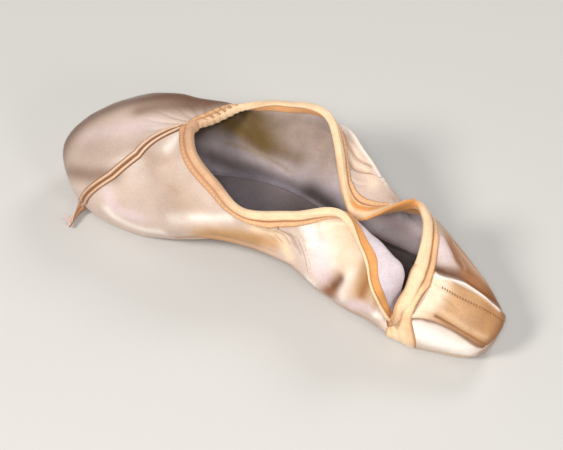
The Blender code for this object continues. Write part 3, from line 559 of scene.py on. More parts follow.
def cubic(a, b, c, d, f):
    """Smooth curve from b to c through four values."""
    return (b + 0.5 * f * (c - a) + f**2 * (a - 2.5 * b + 2 * c - 0.5 * d)
            + f**3 * (1.5 * b - 0.5 * a - 1.5 * c + 0.5 * d))


def column(name):
    """One column of the section table."""
    return np.array([row[COLUMNS.index(name)] for row in SECTIONS], float)


def lift(x):
    """Height that the arch and the toe spring add at a place along the shoe."""
    heel, ball, front = HEEL_END * LENGTH, BALL_START * LENGTH, SPRING_START * LENGTH
    arch = np.clip((x - heel) / (ball - heel), 0, 1)
    spring = np.clip((x - front) / (LENGTH / 2 - front), 0, 1)
    return ARCH_RISE * np.sin(math.pi * arch) ** 2 + TOE_SPRING * spring**2


def sized(along, side, high):
    """A point from its shares of the shoe's sizes."""
    return np.array([along * LENGTH, side * BALL_WIDTH / 2, high * HEIGHT])


def place(along, side, high):
    """A point from its shares, with the lift of the sole under it."""
    return sized(along, side, high) + UP * lift(along * LENGTH)


def spread(point, share):
    """A share of the way from the sole's middle line out to a feather point."""
    spine = np.array(SPINE) * (LENGTH, BALL_WIDTH / 2)
    x = np.clip(point[0], spine[0, 0], spine[-1, 0])
    return mixed(np.array([x, table_at(spine, x)]), point[:2], share)


def knots():
    """Margin, feather, bulge, crown, rim and edge of every section."""
    feather = np.stack([column("foot_along") * LENGTH, column("foot_side") * BALL_WIDTH / 2], axis=1)
    rows = [dict(zip(COLUMNS, row)) for row in SECTIONS]
    points = []
    for i, row in enumerate(rows):
        run = feather[(i + 1) % len(rows)] - feather[i - 1]
        outward = np.array([run[1], -run[0]]) / np.hypot(*run) * BALL_WIDTH / 2
        inner = spread(feather[i], table_at(COVER, row["foot_along"]) - MARGIN)
        floor = lift(feather[i][0])
        margin = np.array([*inner, OUTSOLE + GAP + lift(inner[0])])
        foot = np.array([*feather[i], OUTSOLE + GAP + floor])
        bulge = np.array([*(feather[i] + outward * row["out"]), floor + row["low"] * HEIGHT])
        top = place(row["rim_along"], row["rim_side"], row["rim_high"])
        if row["name"] in CRESTS:
            crown = place(*CRESTS[row["name"]])
        else:
            full = np.array([*(outward * row["crown"]), row["crown"] * HEIGHT])
            crown = (bulge + top) / 2 + full
        if row["name"] in FLAPS:
            rim, edge = top, place(*FLAPS[row["name"]])
        else:
            back = min(RIM / np.linalg.norm(crown - top), RIM_MOST)
            rim, edge = mixed(top, crown, back), top
        points.append([margin, foot, bulge, crown, rim, edge])
    return np.array(points)


def round_values(values, turns):
    """Smooth closed interpolation of rows of values; turns counts rows."""
    turns = np.asarray(turns, float)
    i = np.floor(turns).astype(int)
    f = (turns - i).reshape((-1,) + (1,) * (values.ndim - 1))
    return cubic(*(values[(i + k) % len(values)] for k in (-1, 0, 1, 2)), f)


def section_line(points, sharp):
    """Fine points of one section through its knots, margin to edge."""
    spans = np.linalg.norm(np.diff(points, axis=0), axis=1)
    way = np.diff(points, axis=0) / spans[:, None]
    tangents = np.concatenate([way[:1], way])
    for k in range(1, len(points) - 1):
        both = way[k - 1] * spans[k] + way[k] * spans[k - 1]
        tangents[k] = both / (spans[k] + spans[k - 1])
    pull = [PULL, FEATHER_PULL, PULL * (1 - sharp), PULL, PULL, PULL]
    f = (np.arange(FINE) / FINE)[:, None]
    line = []
    for k, span in enumerate(spans):
        start, end = points[k], points[k + 1]
        leave = start + tangents[k] * span * pull[k]
        arrive = end - tangents[k + 1] * span * pull[k + 1]
        line.append((1 - f)**3 * start + 3 * (1 - f)**2 * f * leave
                    + 3 * (1 - f) * f**2 * arrive + f**3 * end)
    line = np.concatenate(line + [points[-1:]])
    line[:FINE, 2] = OUTSOLE + GAP + lift(line[:FINE, 0])
    return line


def stored_wall():
    """Points, normals and distances to the free edge of the plain wall, all round."""
    turns = np.arange(FULL_TURN * PER_SECTION) / PER_SECTION
    points = round_values(knots(), turns)
    sharp = np.clip(round_values(column("sharp"), turns), 0, 1)
    grid = np.array([section_line(p, s) for p, s in zip(points, sharp)]) - SEAT
    across = np.roll(grid, -1, axis=0) - np.roll(grid, 1, axis=0)
    normal = unit(np.cross(across, np.gradient(grid, axis=1)))
    steps = np.linalg.norm(np.diff(grid, axis=1), axis=2)
    left = np.concatenate([np.cumsum(steps[:, ::-1], axis=1)[:, ::-1], np.zeros((len(grid), 1))], axis=1)
    return np.concatenate([grid, normal, left[..., None]], axis=2)


STORED = stored_wall()


def read(sections, spans):
    """Rows of point, normal and distance to the edge at places on the plain wall."""
    sections, spans = np.broadcast_arrays(np.asarray(sections, float), np.asarray(spans, float))
    column_at = sections * PER_SECTION
    row_at = np.clip(spans * FINE, 0, SPANS * FINE - 1e-6)
    i, j = np.floor(column_at).astype(int), np.floor(row_at).astype(int)
    f, g = (column_at - i)[..., None], (row_at - j)[..., None]
    near = ((i + k) % len(STORED) for k in (-1, 0, 1, 2))
    return cubic(*(STORED[n, j] * (1 - g) + STORED[n, j + 1] * g for n in near), f)


def smooth_path(path, steps=10):
    """A finer path through the given rows of values."""
    path = np.array(path, float)
    padded = np.concatenate([[2 * path[0] - path[1]], path, [2 * path[-1] - path[-2]]])
    f = (np.arange(steps) / steps)[:, None]
    fine = [cubic(*padded[k:k + 4], f) for k in range(len(path) - 1)]
    return np.concatenate(fine + [path[-1:]])


def to_path(points, sections, spans, path, reach):
    """Distance from each point to a path on the wall and the share of the path there.

    Points that are further away than the reach, along the shoe or up it, are left far away."""
    fine = smooth_path(path)
    line = read(fine[:, 0], fine[:, 1])[:, :3]
    low, high = fine.min(axis=0) - PATH_REACH, fine.max(axis=0) + PATH_REACH
    turned = low[0] + (sections - low[0]) % FULL_TURN
    chosen = (turned <= high[0]) & (spans >= low[1]) & (spans <= high[1])
    chosen &= np.all((points >= line.min(axis=0) - reach) & (points <= line.max(axis=0) + reach), axis=-1)
    distance = np.full(points.shape[:-1], 1.0)
    share = np.zeros(points.shape[:-1])
    near = points[chosen]
    best, where = np.full(len(near), 1.0), np.zeros(len(near))
    for k in range(len(line) - 1):
        step = line[k + 1] - line[k]
        f = np.clip((near - line[k]) @ step / max(step @ step, 1e-12), 0, 1)
        d = np.linalg.norm(near - line[k] - f[:, None] * step, axis=1)
        closer = d < best
        best[closer], where[closer] = d[closer], (k + f[closer]) / (len(line) - 1)
    distance[chosen], share[chosen] = best, where
    return distance, share


def wave_set():
    """Directions, phases, amplitudes and wave numbers of the soft waves."""
    chance = np.random.default_rng(7)
    rows = []
    for count, size, shortest, longest in WAVES:
        for _ in range(count):
            way = unit(chance.normal(size=3))
            length = chance.uniform(shortest, longest) * MM
            rows.append([*(way * 2 * math.pi / length), chance.uniform(0, 2 * math.pi), size * MM])
    return rows


WAVE_ROWS = wave_set()


def relief(points, sections, spans):
    """How far the creased cloth stands out from the plain wall."""
    out = np.zeros(points.shape[:-1])
    for depth, width, path in CREASES:
        distance, share = to_path(points, sections, spans, path, 4 * width * MM)
        d = distance / (width * MM)
        valley = bell(d, 0, 1) - SHOULDER * bell(d, SHOULDER_AT, 1)
        out -= depth * MM * between(share, 0, 1, 0.25, 0.25) * valley
    for x, y, z, phase, size in WAVE_ROWS:
        out += size * np.sin(points @ np.array([x, y, z]) + phase)
    turned = sections % FULL_TURN
    at_toe = between(turned, PLEATS_FROM, PLEATS_TO, 0.6, 0.6)
    under = between(spans, 0, 1.25, 0.35, 0.35)
    out += PLEAT_DEPTH * at_toe * under * np.sin(turned * PLEATS_EACH * 2 * math.pi)
    return out * ease(spans / 0.5) * ease((SPANS - spans) / 0.3 + 0.35)


def skin(sections, spans, offset=0.0):
    """Points and normals of the creased cloth, moved outward by the offset."""
    sections, spans = np.broadcast_arrays(np.asarray(sections, float), np.asarray(spans, float))
    row = read(sections, spans)
    point, normal = row[..., :3], unit(row[..., 3:6])
    out = relief(point, sections, spans) + offset
    return point + normal * out[..., None], normal


def past_edge(turns):
    """Directions in which the wall would go on past its free edge."""
    return unit(read(turns, SPANS)[:, :3] - read(turns, SPANS - 0.1)[:, :3])


def painted(sections, spans, base, strokes):
    """Colour of every place: the base with each stroke laid over it in turn."""
    points = read(sections, spans)[..., :3]
    colour = np.broadcast_to(base, points.shape)
    for tone, strength, width, path in strokes:
        distance, _ = to_path(points, sections, spans, path, 2.6 * width * MM)
        colour = tinted(colour, tone, strength * bell(distance, 0, width * MM))
    return colour


def add_object(name, mesh, material):
    mesh.materials.append(material)
    piece = bpy.data.objects.new(name, mesh)
    bpy.context.scene.collection.objects.link(piece)
    return piece


def mesh_object(name, vertices, faces, material, tint, cloth):
    """A smooth mesh with its paint and its cloth coordinates."""
    mesh = bpy.data.meshes.new(name)
    vertices = vertices.reshape(-1, 3)
    mesh.vertices.add(len(vertices))
    mesh.vertices.foreach_set("co", vertices.ravel())
    mesh.loops.add(faces.size)
    mesh.loops.foreach_set("vertex_index", faces.ravel())
    mesh.polygons.add(len(faces))
    mesh.polygons.foreach_set("loop_start", np.arange(len(faces)) * faces.shape[1])
    mesh.update(calc_edges=True)
    mesh.validate()
    mesh.shade_smooth()
    layer = mesh.color_attributes.new("tint", "FLOAT_COLOR", "POINT")
    opaque = np.concatenate([tint.reshape(-1, 3), np.ones((len(vertices), 1))], axis=1)
    layer.data.foreach_set("color", opaque.ravel())
    layer = mesh.uv_layers.new(name="cloth")
    index = np.empty(len(mesh.loops), dtype=np.int32)
    mesh.loops.foreach_get("vertex_index", index)
    layer.data.foreach_set("uv", cloth.reshape(-1, 2)[index].ravel())
    return add_object(name, mesh, material)


def grid_faces(rows, columns, around=False, across=False, flip=False):
    """Quads of a grid of points stored row by row."""
    i = np.arange(rows if around else rows - 1)
    j = np.arange(columns if across else columns - 1)
    i, j = (index.ravel() for index in np.meshgrid(i, j, indexing="ij"))
    up, over = (i + 1) % rows, (j + 1) % columns
    quads = np.stack([i * columns + j, up * columns + j, up * columns + over, i * columns + over], axis=1)
    return quads[:, ::-1] if flip else quads


def sheet(name, grid, material, tint, **wrap):
    """A smooth mesh over a grid of points, with lengths along the cloth as its coordinates."""
    along = np.linalg.norm(np.diff(grid, axis=0), axis=2).mean(axis=1)
    up = np.linalg.norm(np.diff(grid, axis=1), axis=2).mean(axis=0)
    a, u = np.append(0, np.cumsum(along)), np.append(0, np.cumsum(up))
    cloth = np.stack(np.meshgrid(a, u, indexing="ij"), axis=2)
    return mesh_object(name, grid, grid_faces(*grid.shape[:2], **wrap), material, tint, cloth)


def principled(name, values):
    """A material whose Principled shader has the given values."""
    material = bpy.data.materials.new(name)
    material.use_nodes = True
    shader = material.node_tree.nodes["Principled BSDF"]
    for key, value in values.items():
        shader.inputs[key].default_value = value
    return material, material.node_tree, shader


def node(tree, kind, inputs=None, **settings):
    """A shader node. Each input is given a value, or a link where an output is named for it."""
    made = tree.nodes.new(kind)
    for key, value in settings.items():
        setattr(made, key, value)
    for key, value in (inputs or {}).items():
        if isinstance(value, bpy.types.NodeSocket):
            tree.links.new(value, made.inputs[key])
        else:
            made.inputs[key].default_value = value
    return made


def noise(tree, vector, scale, detail=4.0, rough=0.55):
    values = {"Scale": scale, "Detail": detail, "Roughness": rough, "Vector": vector}
    return node(tree, "ShaderNodeTexNoise", values).outputs["Fac"]


def ramp(tree, value, low, high, start=0.3, stop=0.7):
    """A value from start to stop mapped to low to high."""
    values = {"From Min": start, "From Max": stop, "To Min": low, "To Max": high, "Value": value}
    return node(tree, "ShaderNodeMapRange", values).outputs["Result"]


def stretched(tree, vector, scale):
    return node(tree, "ShaderNodeMapping", {"Scale": scale, "Vector": vector}).outputs["Vector"]


def shade(tree, colour, factor):
    """A colour made darker or lighter by a factor that varies over the surface."""
    values = {0: colour, "Scale": factor}
    return node(tree, "ShaderNodeVectorMath", values, operation="SCALE").outputs["Vector"]


def blend_to(tree, colour, tone, factor):
    """A colour mixed toward one tone by a factor that varies."""
    made = node(tree, "ShaderNodeMix", data_type="RGBA")
    slots = {slot.identifier: slot for slot in made.inputs}
    slots["B_Color"].default_value = (*tone, 1.0)
    tree.links.new(colour, slots["A_Color"])
    tree.links.new(factor, slots["Factor_Float"])
    return [slot for slot in made.outputs if slot.identifier == "Result_Color"][0]


def bumped(tree, height, strength, distance, **before):
    values = {"Strength": strength, "Distance": distance, "Height": height, **before}
    return node(tree, "ShaderNodeBump", values).outputs["Normal"]


def painted_cloth(name, roughness, mottle, mottle_size, stain, stain_amount, weave, weave_size, weave_bump,
                  sheen, anisotropy=0.0, specular=0.5):
    """Cloth whose colour comes from its paint, with mottling, small stains and a thread bump."""
    material, tree, shader = principled(name, {
        "Roughness": roughness, "Sheen Weight": sheen, "Sheen Roughness": SHEEN_ROUGH,
        "Sheen Tint": SHEEN_TONE, "Anisotropic": anisotropy, "Specular IOR Level": specular})
    place_of = node(tree, "ShaderNodeTexCoord").outputs["Object"]
    paint = node(tree, "ShaderNodeAttribute", attribute_name="tint").outputs["Color"]
    broad = noise(tree, place_of, 1 / mottle_size)
    colour = shade(tree, paint, ramp(tree, broad, 1 - mottle, 1 + mottle))
    fine = noise(tree, place_of, 1 / GRAIN, detail=2.0)
    colour = shade(tree, colour, ramp(tree, fine, 1 - GRAIN_DEPTH, 1 + GRAIN_DEPTH))
    spots = noise(tree, place_of, SPOTS / mottle_size, detail=8.0, rough=0.7)
    colour = blend_to(tree, colour, stain, ramp(tree, spots, 0.0, stain_amount, SPOTS_FROM, SPOTS_FULL))
    tree.links.new(colour, shader.inputs["Base Color"])
    rough = ramp(tree, spots, roughness - ROUGH_SPREAD, roughness + ROUGH_SPREAD)
    tree.links.new(rough, shader.inputs["Roughness"])
    cloth = node(tree, "ShaderNodeUVMap", uv_map="cloth").outputs["UV"]
    if weave == "threads":
        lines = stretched(tree, cloth, (1 / weave_size, 0.12 / weave_size, 1.0))
        height = noise(tree, lines, 1.0, detail=3.0)
    else:
        crossed = stretched(tree, cloth, (1 / weave_size, 1 / weave_size, 1.0))
        height = node(tree, "ShaderNodeTexChecker", {"Scale": 1.0, "Vector": crossed}).outputs["Fac"]
    normal = bumped(tree, height, weave_bump, WEAVE_HIGH)
    tree.links.new(bumped(tree, broad, MOTTLE_BUMP, MOTTLE_HIGH, Normal=normal), shader.inputs["Normal"])
    if anisotropy:
        way = node(tree, "ShaderNodeTangent", direction_type="UV_MAP", uv_map="cloth")
        tree.links.new(way.outputs["Tangent"], shader.inputs["Tangent"])
    return material



def satin_panel(name, left, right, columns, material, lap=0.0):
    """One panel of the satin between two seams; a lapped panel lies over its neighbours at the seams."""
    start, end = table_at(left, UP_WALL), table_at(right, UP_WALL)
    if right is BACK_SEAM:
        end = end + FULL_TURN
    sections = mixed(start, end, np.linspace(0, 1, columns)[:, None])
    spans = np.broadcast_to(UP_WALL, sections.shape)
    offset = np.zeros(sections.shape)
    if lap:
        base = read(sections, spans)[..., :3]
        for edge in (0, -1):
            offset += lap * bell(np.linalg.norm(base - base[[edge]], axis=2), 0, LAP_WIDTH)
            offset[edge] = -lap
    grid, _ = skin(sections, spans, offset)
    return sheet(name, grid, material, painted(sections, spans, SATIN_GREY, SATIN_PAINT))


def lining_sheet(material):
    """Canvas lining on the inner face of the wall."""
    turns = np.arange(LINING_COLUMNS) * FULL_TURN / LINING_COLUMNS
    sections, spans = np.meshgrid(turns, np.linspace(0, SPANS, LINING_ROWS), indexing="ij")
    grid, _ = skin(sections, spans, -WALL)
    tint = painted(sections, spans, LINING, LINING_PAINT)
    return sheet("canvas_lining", grid, material, tint, around=True, flip=True)


def binding_width(sections):
    """Width of the binding round the shoe."""
    band = round_values(column("band"), sections) * BINDING
    return np.minimum(band, read(sections, 4.0)[:, 6] * BOUND_MOST)


def spans_at(sections, left):
    """Spans up the wall where the distance to the free edge has the given values."""
    rows = read(sections[:, None], UP_WALL)[..., 6]
    return np.array([np.interp(-value, -row, UP_WALL) for row, value in zip(rows, left)])


def along_turn(table, turns):
    """Values of a table round the shoe."""
    return table_at(table, turns % FULL_TURN)


def casing_side(outer, turns, width, wave, small, amount, full, raised, cap):
    """Points and colours of the binding's outer or inner side."""
    folded = between(turns, *FOLDED)[:, None]
    reach = 1.0 if outer else along_turn(INNER_REACH, turns)
    shares, high = np.array(BINDING_OUT if outer else BINDING_IN).T
    spans = spans_at(turns, (width * reach)[:, None] * shares)
    ripple = (wave * amount * 0.7 + small * (0.06 + amount) * 0.7)[:, None]
    ripple = ripple * np.clip(high - 0.2, 0, 1) * 0.5 * MM
    height = high * MM * np.where(high > 0.7, full[:, None], 1.0) + ripple + raised[:, None]
    height = mixed(0.1 * MM, height, cap[:, None])
    if outer:
        height = mixed(height, HIDDEN_HIGH, between(turns, *HIDDEN, HIDDEN_FADE, HIDDEN_FADE)[:, None])
        points, _ = skin(turns[:, None], spans, height)
        # The outer side is painted paler where its roll stands highest, a painted highlight, and ochre over
        # its roll where the far fold turns it over, as painted shade
        colour = tinted(PEACH, PALE_PEACH, np.clip((high - 0.62) / 0.45, 0, 1))
        colour = tinted(colour, OCHRE, folded * ease((0.42 - shares) / 0.14))
        lines = lines_at(OUTER_LINES, shares)
    else:
        points, _ = skin(turns[:, None], spans, -WALL - height)
        flat = tinted(PEACH, OCHRE, along_turn(INNER_TONE, turns)[:, None])
        # Near the fold the inner side fades to the roll's pale painted highlight, or to ochre painted shade
        # where the far fold turns it over
        colour = tinted(flat, tinted(PALE_PEACH, OCHRE, folded), np.clip((0.20 - shares) / 0.12, 0, 1))
        lines = lines_at(INNER_LINES, shares)
    # Brown lines at its grooves and edges, partly the sewing's dark lines and partly painted shade; then
    # painted shade in the hollows of its gathers
    colour = tinted(colour, ORANGE_BROWN, np.clip(lines, 0, 1))
    return points, tinted(colour, ORANGE_BROWN, np.clip(-ripple / MM * 4.0, 0, 0.85))


def collar_casing(material):
    """Binding folded over the collar's edge, with its roll, its stitched groove and its gathers."""
    turns = np.linspace(NOSE_START, NOSE_UNDER, BINDING_STATIONS)
    width = binding_width(turns)
    full = np.minimum(width / BINDING, 1.0)
    edge = read(turns, SPANS)[:, :3]
    run = run_along(edge)
    amount = table_at(GATHERS, np.where(turns < GATHERS_END, turns + FULL_TURN, turns))
    drift = np.cumsum(np.random.default_rng(3).normal(size=len(turns))) * 0.06
    wave = np.sin(run / GATHER_STEP * 2 * math.pi + drift)
    small = np.sin(run / PUCKER_STEP * 2 * math.pi + 1.7 * drift) * 0.4
    cap = rounded(run / NOSE_ROUND)
    raised = NOSE_LIFT * ease((NOSE_ROUND * 2.4 - run) / (NOSE_ROUND * 1.4))
    (outer, outer_tint), (inner, inner_tint) = (
        casing_side(side, turns, width, wave, small, amount, full, raised, cap) for side in (True, False))
    over = along_turn(OVERHANG, turns)
    sag = np.clip(over / OVERHANG_FULL, 0, 1)[:, None]
    crown = (((0.85 * full + over) * MM + wave * amount * 0.25 * MM + raised) * cap)[:, None]
    middle, half = (outer[:, -1] + inner[:, 0]) / 2, (outer[:, -1] - inner[:, 0]) / 2
    bend = np.radians(BEND)
    bends = (middle[:, None] + past_edge(turns)[:, None] * (crown * np.cos(bend) ** 0.7)[..., None]
             + half[:, None] * (np.sin(bend) * (1 - 0.45 * sag * np.cos(bend)))[..., None])
    # The folded edge is painted pale as the roll's highlight; where it droops past the cloth its lower side
    # is painted darker as shade, ochre on the far side and brown elsewhere
    low = sag * ease((70 - BEND) / 60.0)
    far_side = ((turns > FAR_SIDE[0]) & (turns < FAR_SIDE[1])).astype(float)[:, None]
    crest = tinted(PALE_PEACH, OCHRE, low * far_side)
    crest = tinted(crest, ORANGE_BROWN, 0.55 * low * (1 - far_side) * ease((20 - BEND) / 30.0))
    grid = np.concatenate([outer, bends, inner], axis=1)
    tint = np.concatenate([outer_tint, crest, inner_tint], axis=1)
    tint = tinted(tint, ROLL_TAN, ROLL_STRENGTH * along_turn(ROLL_TONE, turns)[:, None])
    return sheet("collar_casing", grid, material, tint, across=True)


def tube(path, radius):
    """Vertices and faces of one thread along a path."""
    way = unit(np.gradient(path, axis=0))
    first = unit(np.cross(way, np.array([0.21, 0.35, 0.91])))
    second = np.cross(way, first)
    turn = (np.arange(THREAD_SIDES) / THREAD_SIDES * 2 * math.pi)[:, None]
    round_path = np.cos(turn) * first[:, None] + np.sin(turn) * second[:, None]
    rings = path[:, None] + radius[:, None, None] * round_path
    return rings.reshape(-1, 3), grid_faces(len(path), THREAD_SIDES, across=True)


def threads(name, paths, material):
    """Many threads as one piece."""
    radius, colour = THREADS[name]
    vertices, faces, count = [], [], 0
    for path in paths:
        swell = np.sin(np.linspace(0.12, math.pi - 0.12, len(path))) ** 0.5
        points, quads = tube(path, radius * MM * swell)
        vertices.append(points)
        faces.append(quads + count)
        count += len(points)
    vertices = np.concatenate(vertices)
    tint = np.broadcast_to(colour, vertices.shape)
    return mesh_object(name, vertices, np.concatenate(faces), material, tint, vertices[:, [0, 2]])


def dashes(points, normals, length, gap, height, sink):
    """Paths of running stitches along a line on a surface."""
    run = run_along(points)
    paths = []
    start = gap
    while start + length < run[-1]:
        at = np.linspace(start, start + length, 6)
        point, normal = (np.stack([np.interp(at, run, rows[:, k]) for k in range(3)], axis=1)
                         for rows in (points, normals))
        arc = np.sin(np.linspace(0, math.pi, 6)) * (height + sink) - sink
        paths.append(point + normal * arc[:, None])
        start += length + gap
    return paths


def back_tape(material):
    """Narrow tape over the back seam with a groove along its middle, down to its loose tail."""
    spans = np.linspace(*TAPE_SPANS)
    centre = table_at(BACK_SEAM, spans)
    step = 0.02
    low, _ = skin(centre - step, spans)
    high, _ = skin(centre + step, spans)
    reach = np.linalg.norm(high - low, axis=1) / (2 * step)
    lanes = np.linspace(-0.5, 0.5, len(TAPE_RIDGE))
    turns = centre[:, None] + lanes * (BACK_STRIP * TAPE_NARROW / reach)[:, None]
    grid, normal = skin(turns, spans[:, None], (TAPE_RIDGE * TAPE_HIGH + TAPE_LIFT) * MM)
    across = unit(grid[0, -1] - grid[0, 0])
    rows = []
    for shares, width, twist in TAPE_TAIL:
        lane = (across * math.cos(twist) + UP * math.sin(twist)) * BACK_STRIP * width
        rows.append(sized(*shares) - SEAT + np.outer(lanes, lane) + np.outer(TAPE_RIDGE * MM * 0.7, UP))
    rows = smooth_path(np.reshape(rows, (len(rows), -1)), 6).reshape(-1, len(lanes), 3)
    body = np.concatenate([rows, grid])
    # The tape's cords are painted pale and its groove and edges deep brown, a painted highlight and painted
    # shade; it also turns browner toward its loose tail
    tone = np.interp(TAPE_RIDGE, (0.10, 0.45, 0.70), (0.0, 0.20, 1.0))
    browner_to_tail = np.interp(np.linspace(0, 1, len(body)), (0, 0.25, 0.6, 1), (0.80, 0.70, 0.20, 0.0))
    tint = tinted(tinted(DEEP_BROWN, TAPE_TAN, tone), BROWN, browner_to_tail[:, None])
    thickness = np.concatenate([np.broadcast_to(UP * TAIL_THICK * MM, rows.shape), normal * TAPE_THICK * MM])
    loop = np.concatenate([body, (body - thickness)[:, ::-1]], axis=1)
    tint = np.concatenate([tint, tint[:, ::-1]], axis=1)
    return sheet("back_tape", loop, material, tint, across=True, flip=True)


def frayed_tail(material):
    """Loose threads at the end of the tape."""
    chance = np.random.default_rng(11)
    root = sized(*FRAYED_ROOT) - SEAT
    f = np.linspace(0, 1, 9)[:, None]
    paths = []
    for _ in range(FRAYED_COUNT):
        start = np.array([chance.uniform(*ends) for ends in FRAYED_START]) * MM
        way = np.array([chance.uniform(*ends) for ends in FRAYED_WAY])
        curl = chance.normal(size=3) * 0.5
        reach = chance.uniform(*FRAYED_LONG) * MM
        path = root + start + way * f * reach + curl * f**2 * reach * 0.6
        path[:, 2] = np.maximum(path[:, 2], FRAYED_LOWEST * MM)
        paths.append(path)
    return threads("frayed_ends", paths, material)


def strip_places(down, lane):
    """Places on the wall of points down and across the vamp strip."""
    turns = mixed(mixed(*VAMP_NEAR, down), mixed(*VAMP_FAR, down), lane)
    flat = turns.ravel()
    start = round_values(column("band"), flat) * BINDING + STRIP_CLEAR
    left = mixed(start, read(flat, 2.0)[:, 6], down.ravel())
    return turns, spans_at(flat, left[:, None]).reshape(turns.shape)


def vamp_panel(material):
    """Worn strip down the middle of the toe box, with rolled edges."""
    rows, lanes = np.linspace(0, STRIP_END, STRIP_ROWS), np.linspace(0, 1, STRIP_LANES)
    down, lane = np.meshgrid(rows, lanes, indexing="ij")
    turns, spans = strip_places(down, lane)
    ends = np.minimum(down / 0.01, (STRIP_END - down) / 0.03)
    edge = rounded(np.minimum(np.minimum(lane, 1 - lane) / STRIP_ROUND, ends))
    sunk = lines_at(STRIP_SUNK, lane)
    grid, _ = skin(turns, spans, mixed(STRIP_EDGE * MM, STRIP_HIGH, edge) - sunk * MM)
    return sheet("vamp_panel", grid, material, painted(turns, spans, TAN, STRIP_PAINT), flip=True)


def whip_stitches(material):
    """Short slanted stitches along both sides of the vamp strip, a little in from its edges."""
    along = np.linspace(0, 1, 7)
    arc = STRIP_HIGH + (STITCH_ARC * np.sin(along * math.pi) - STITCH_SUNK) * MM
    paths = []
    for lanes, first in STRIP_STITCHES:
        for down in np.linspace(first, LAST_STITCH, STITCHES_A_SIDE):
            turns, spans = strip_places(down + STITCH_SLANT * along, mixed(*lanes, along))
            paths.append(skin(turns, spans, arc)[0])
    return threads("whip_stitches", paths, material)


def band_end(material):
    """End of the throat band, carried on over the near side of the box down to the sole."""
    low_span, low_turn, high_span, high_turn, extra, beyond = smooth_path(BAND_END, 16).T[..., None]
    lane = np.linspace(0, 1, BAND_LANES)
    turns, spans = mixed(low_turn, high_turn, lane), mixed(low_span, high_span, lane)
    way = np.linspace(0, 1, len(turns))[:, None]
    upper = ease((way - 0.45) / 0.3)
    edge = np.clip(np.minimum(lane, 1 - lane) / BAND_ROUND, 0, 1)
    profile = np.array(BINDING_OUT)[::-1]
    shaped = table_at(profile, lane) - BAND_HIGH
    height = rounded(edge) * (BAND_HIGH + shaped * (0.15 + 0.85 * ease((way - 0.50) / 0.25)))
    pucker = 0.07 * np.sin(way * 46.0 + 3.0 * np.sin(lane * 4.0)) * edge
    beyond = np.maximum(beyond, 0)
    droop = BAND_DROOP * beyond * np.clip(1 - lane / 0.35, 0, 1) ** 2
    grid, _ = skin(turns, np.clip(spans, 0, SPANS), (height + extra + pucker - droop) * MM)
    stretch = beyond * np.clip(1 - lane / 0.45, 0, 1) ** 1.4 * MM
    grid = grid + past_edge(turns[:, 0])[:, None] * stretch[..., None]
    # Paler along the band's middle and over its higher parts, a painted highlight; browner at its edges and
    # groove, partly the sewing's dark lines and partly painted shade
    pale = mixed(0.25 + 0.75 * np.sin(lane * math.pi), np.clip(shaped / 0.45, 0, 1), upper)
    tint = tinted(tinted(PEACH, PALE_PEACH, pale), ROLL_TAN, BAND_ROLL)
    lines = lines_at(BAND_LINES, lane) + bell(lane, 0.55, 0.05) * (0.15 + 0.75 * upper)
    return sheet("band_end", grid, material, tinted(tint, ORANGE_BROWN, np.clip(lines, 0, 0.9)), flip=True)


def binding_stitches(material):
    """Running stitches that hold the binding, along its flat outer part."""
    turns = np.linspace(*BINDING_STITCH_TURNS)
    spans = spans_at(turns, binding_width(turns)[:, None] * BINDING_STITCH_AT)[:, 0]
    paths = dashes(*skin(turns, spans, BINDING_STITCH_HIGH * MM), *BINDING_STITCH)
    return threads("binding_stitches", paths, material)


def seam_stitches(material):
    """Stitches beside the two side seams."""
    paths = []
    for seam, aside, start, stop in STITCHED:
        spans = np.linspace(start, stop, 300)
        paths += dashes(*skin(table_at(seam, spans) + aside, spans, SEAM_STITCH_HIGH * MM), *SEAM_STITCH)
    return threads("seam_stitches", paths, material)


def sole_plate(name, outline, low, high, material, base, strokes, rounding):
    """Thin sole following the arch, with rounded edges."""
    front, back = outline[:, 0].max(), outline[:, 0].min()
    turn = np.linspace(0.03, math.pi - 0.03, SOLE_STATIONS)
    xs = (front + back) / 2 - np.cos(turn) * (front - back) / 2
    spine_y = table_at(np.array(SPINE) * (LENGTH, BALL_WIDTH / 2), outline[:, 0])
    near, far = outline[outline[:, 1] < spine_y], outline[outline[:, 1] >= spine_y]
    near_y, far_y = (table_at(side[np.argsort(side[:, 0])], xs)[:, None] for side in (near, far))
    ys = mixed(near_y, far_y, 0.5 - np.cos(np.linspace(0, math.pi, SOLE_LANES)) / 2)
    flat = np.stack([np.broadcast_to(xs[:, None], ys.shape), ys], axis=2)
    inset = np.minimum(ys - near_y, far_y - ys)
    ends = np.minimum(xs - back, front - xs)[:, None]
    drop = rounding * (1 - rounded(np.minimum(inset, ends) / rounding))
    drop = np.minimum(drop, (high - low) / 2)[..., None]
    height = lift(flat[..., :1])
    top = np.concatenate([flat, height + high - drop], axis=2) - SEAT
    bottom = np.concatenate([flat, height + low + drop], axis=2) - SEAT
    loop = np.concatenate([top, bottom[:, ::-1]], axis=1)
    tint = np.broadcast_to(base, loop.shape)
    for tone, strength, centre, radius in strokes:
        far_off = np.linalg.norm((loop[..., :2] - centre) / radius, axis=2)
        tint = tinted(tint, tone, strength * bell(far_off, 0, 1))
    return sheet(name, loop, material, tint, across=True, flip=True)


def sole_outline(share_at):
    """Closed outline made from the feather line by a rule for its share."""
    feet = round_values(knots()[:, 1, :2], np.arange(FULL_TURN * 8) / 8)
    return np.array([share_at(foot) for foot in feet])


def outsole_point(foot):
    return spread(foot, table_at(COVER, foot[0] / LENGTH))


def insole_point(foot):
    middle = spread(foot, 0.0)
    reach = np.linalg.norm(foot - middle)
    return middle + (foot - middle) * (reach - INSOLE_INSET) / reach


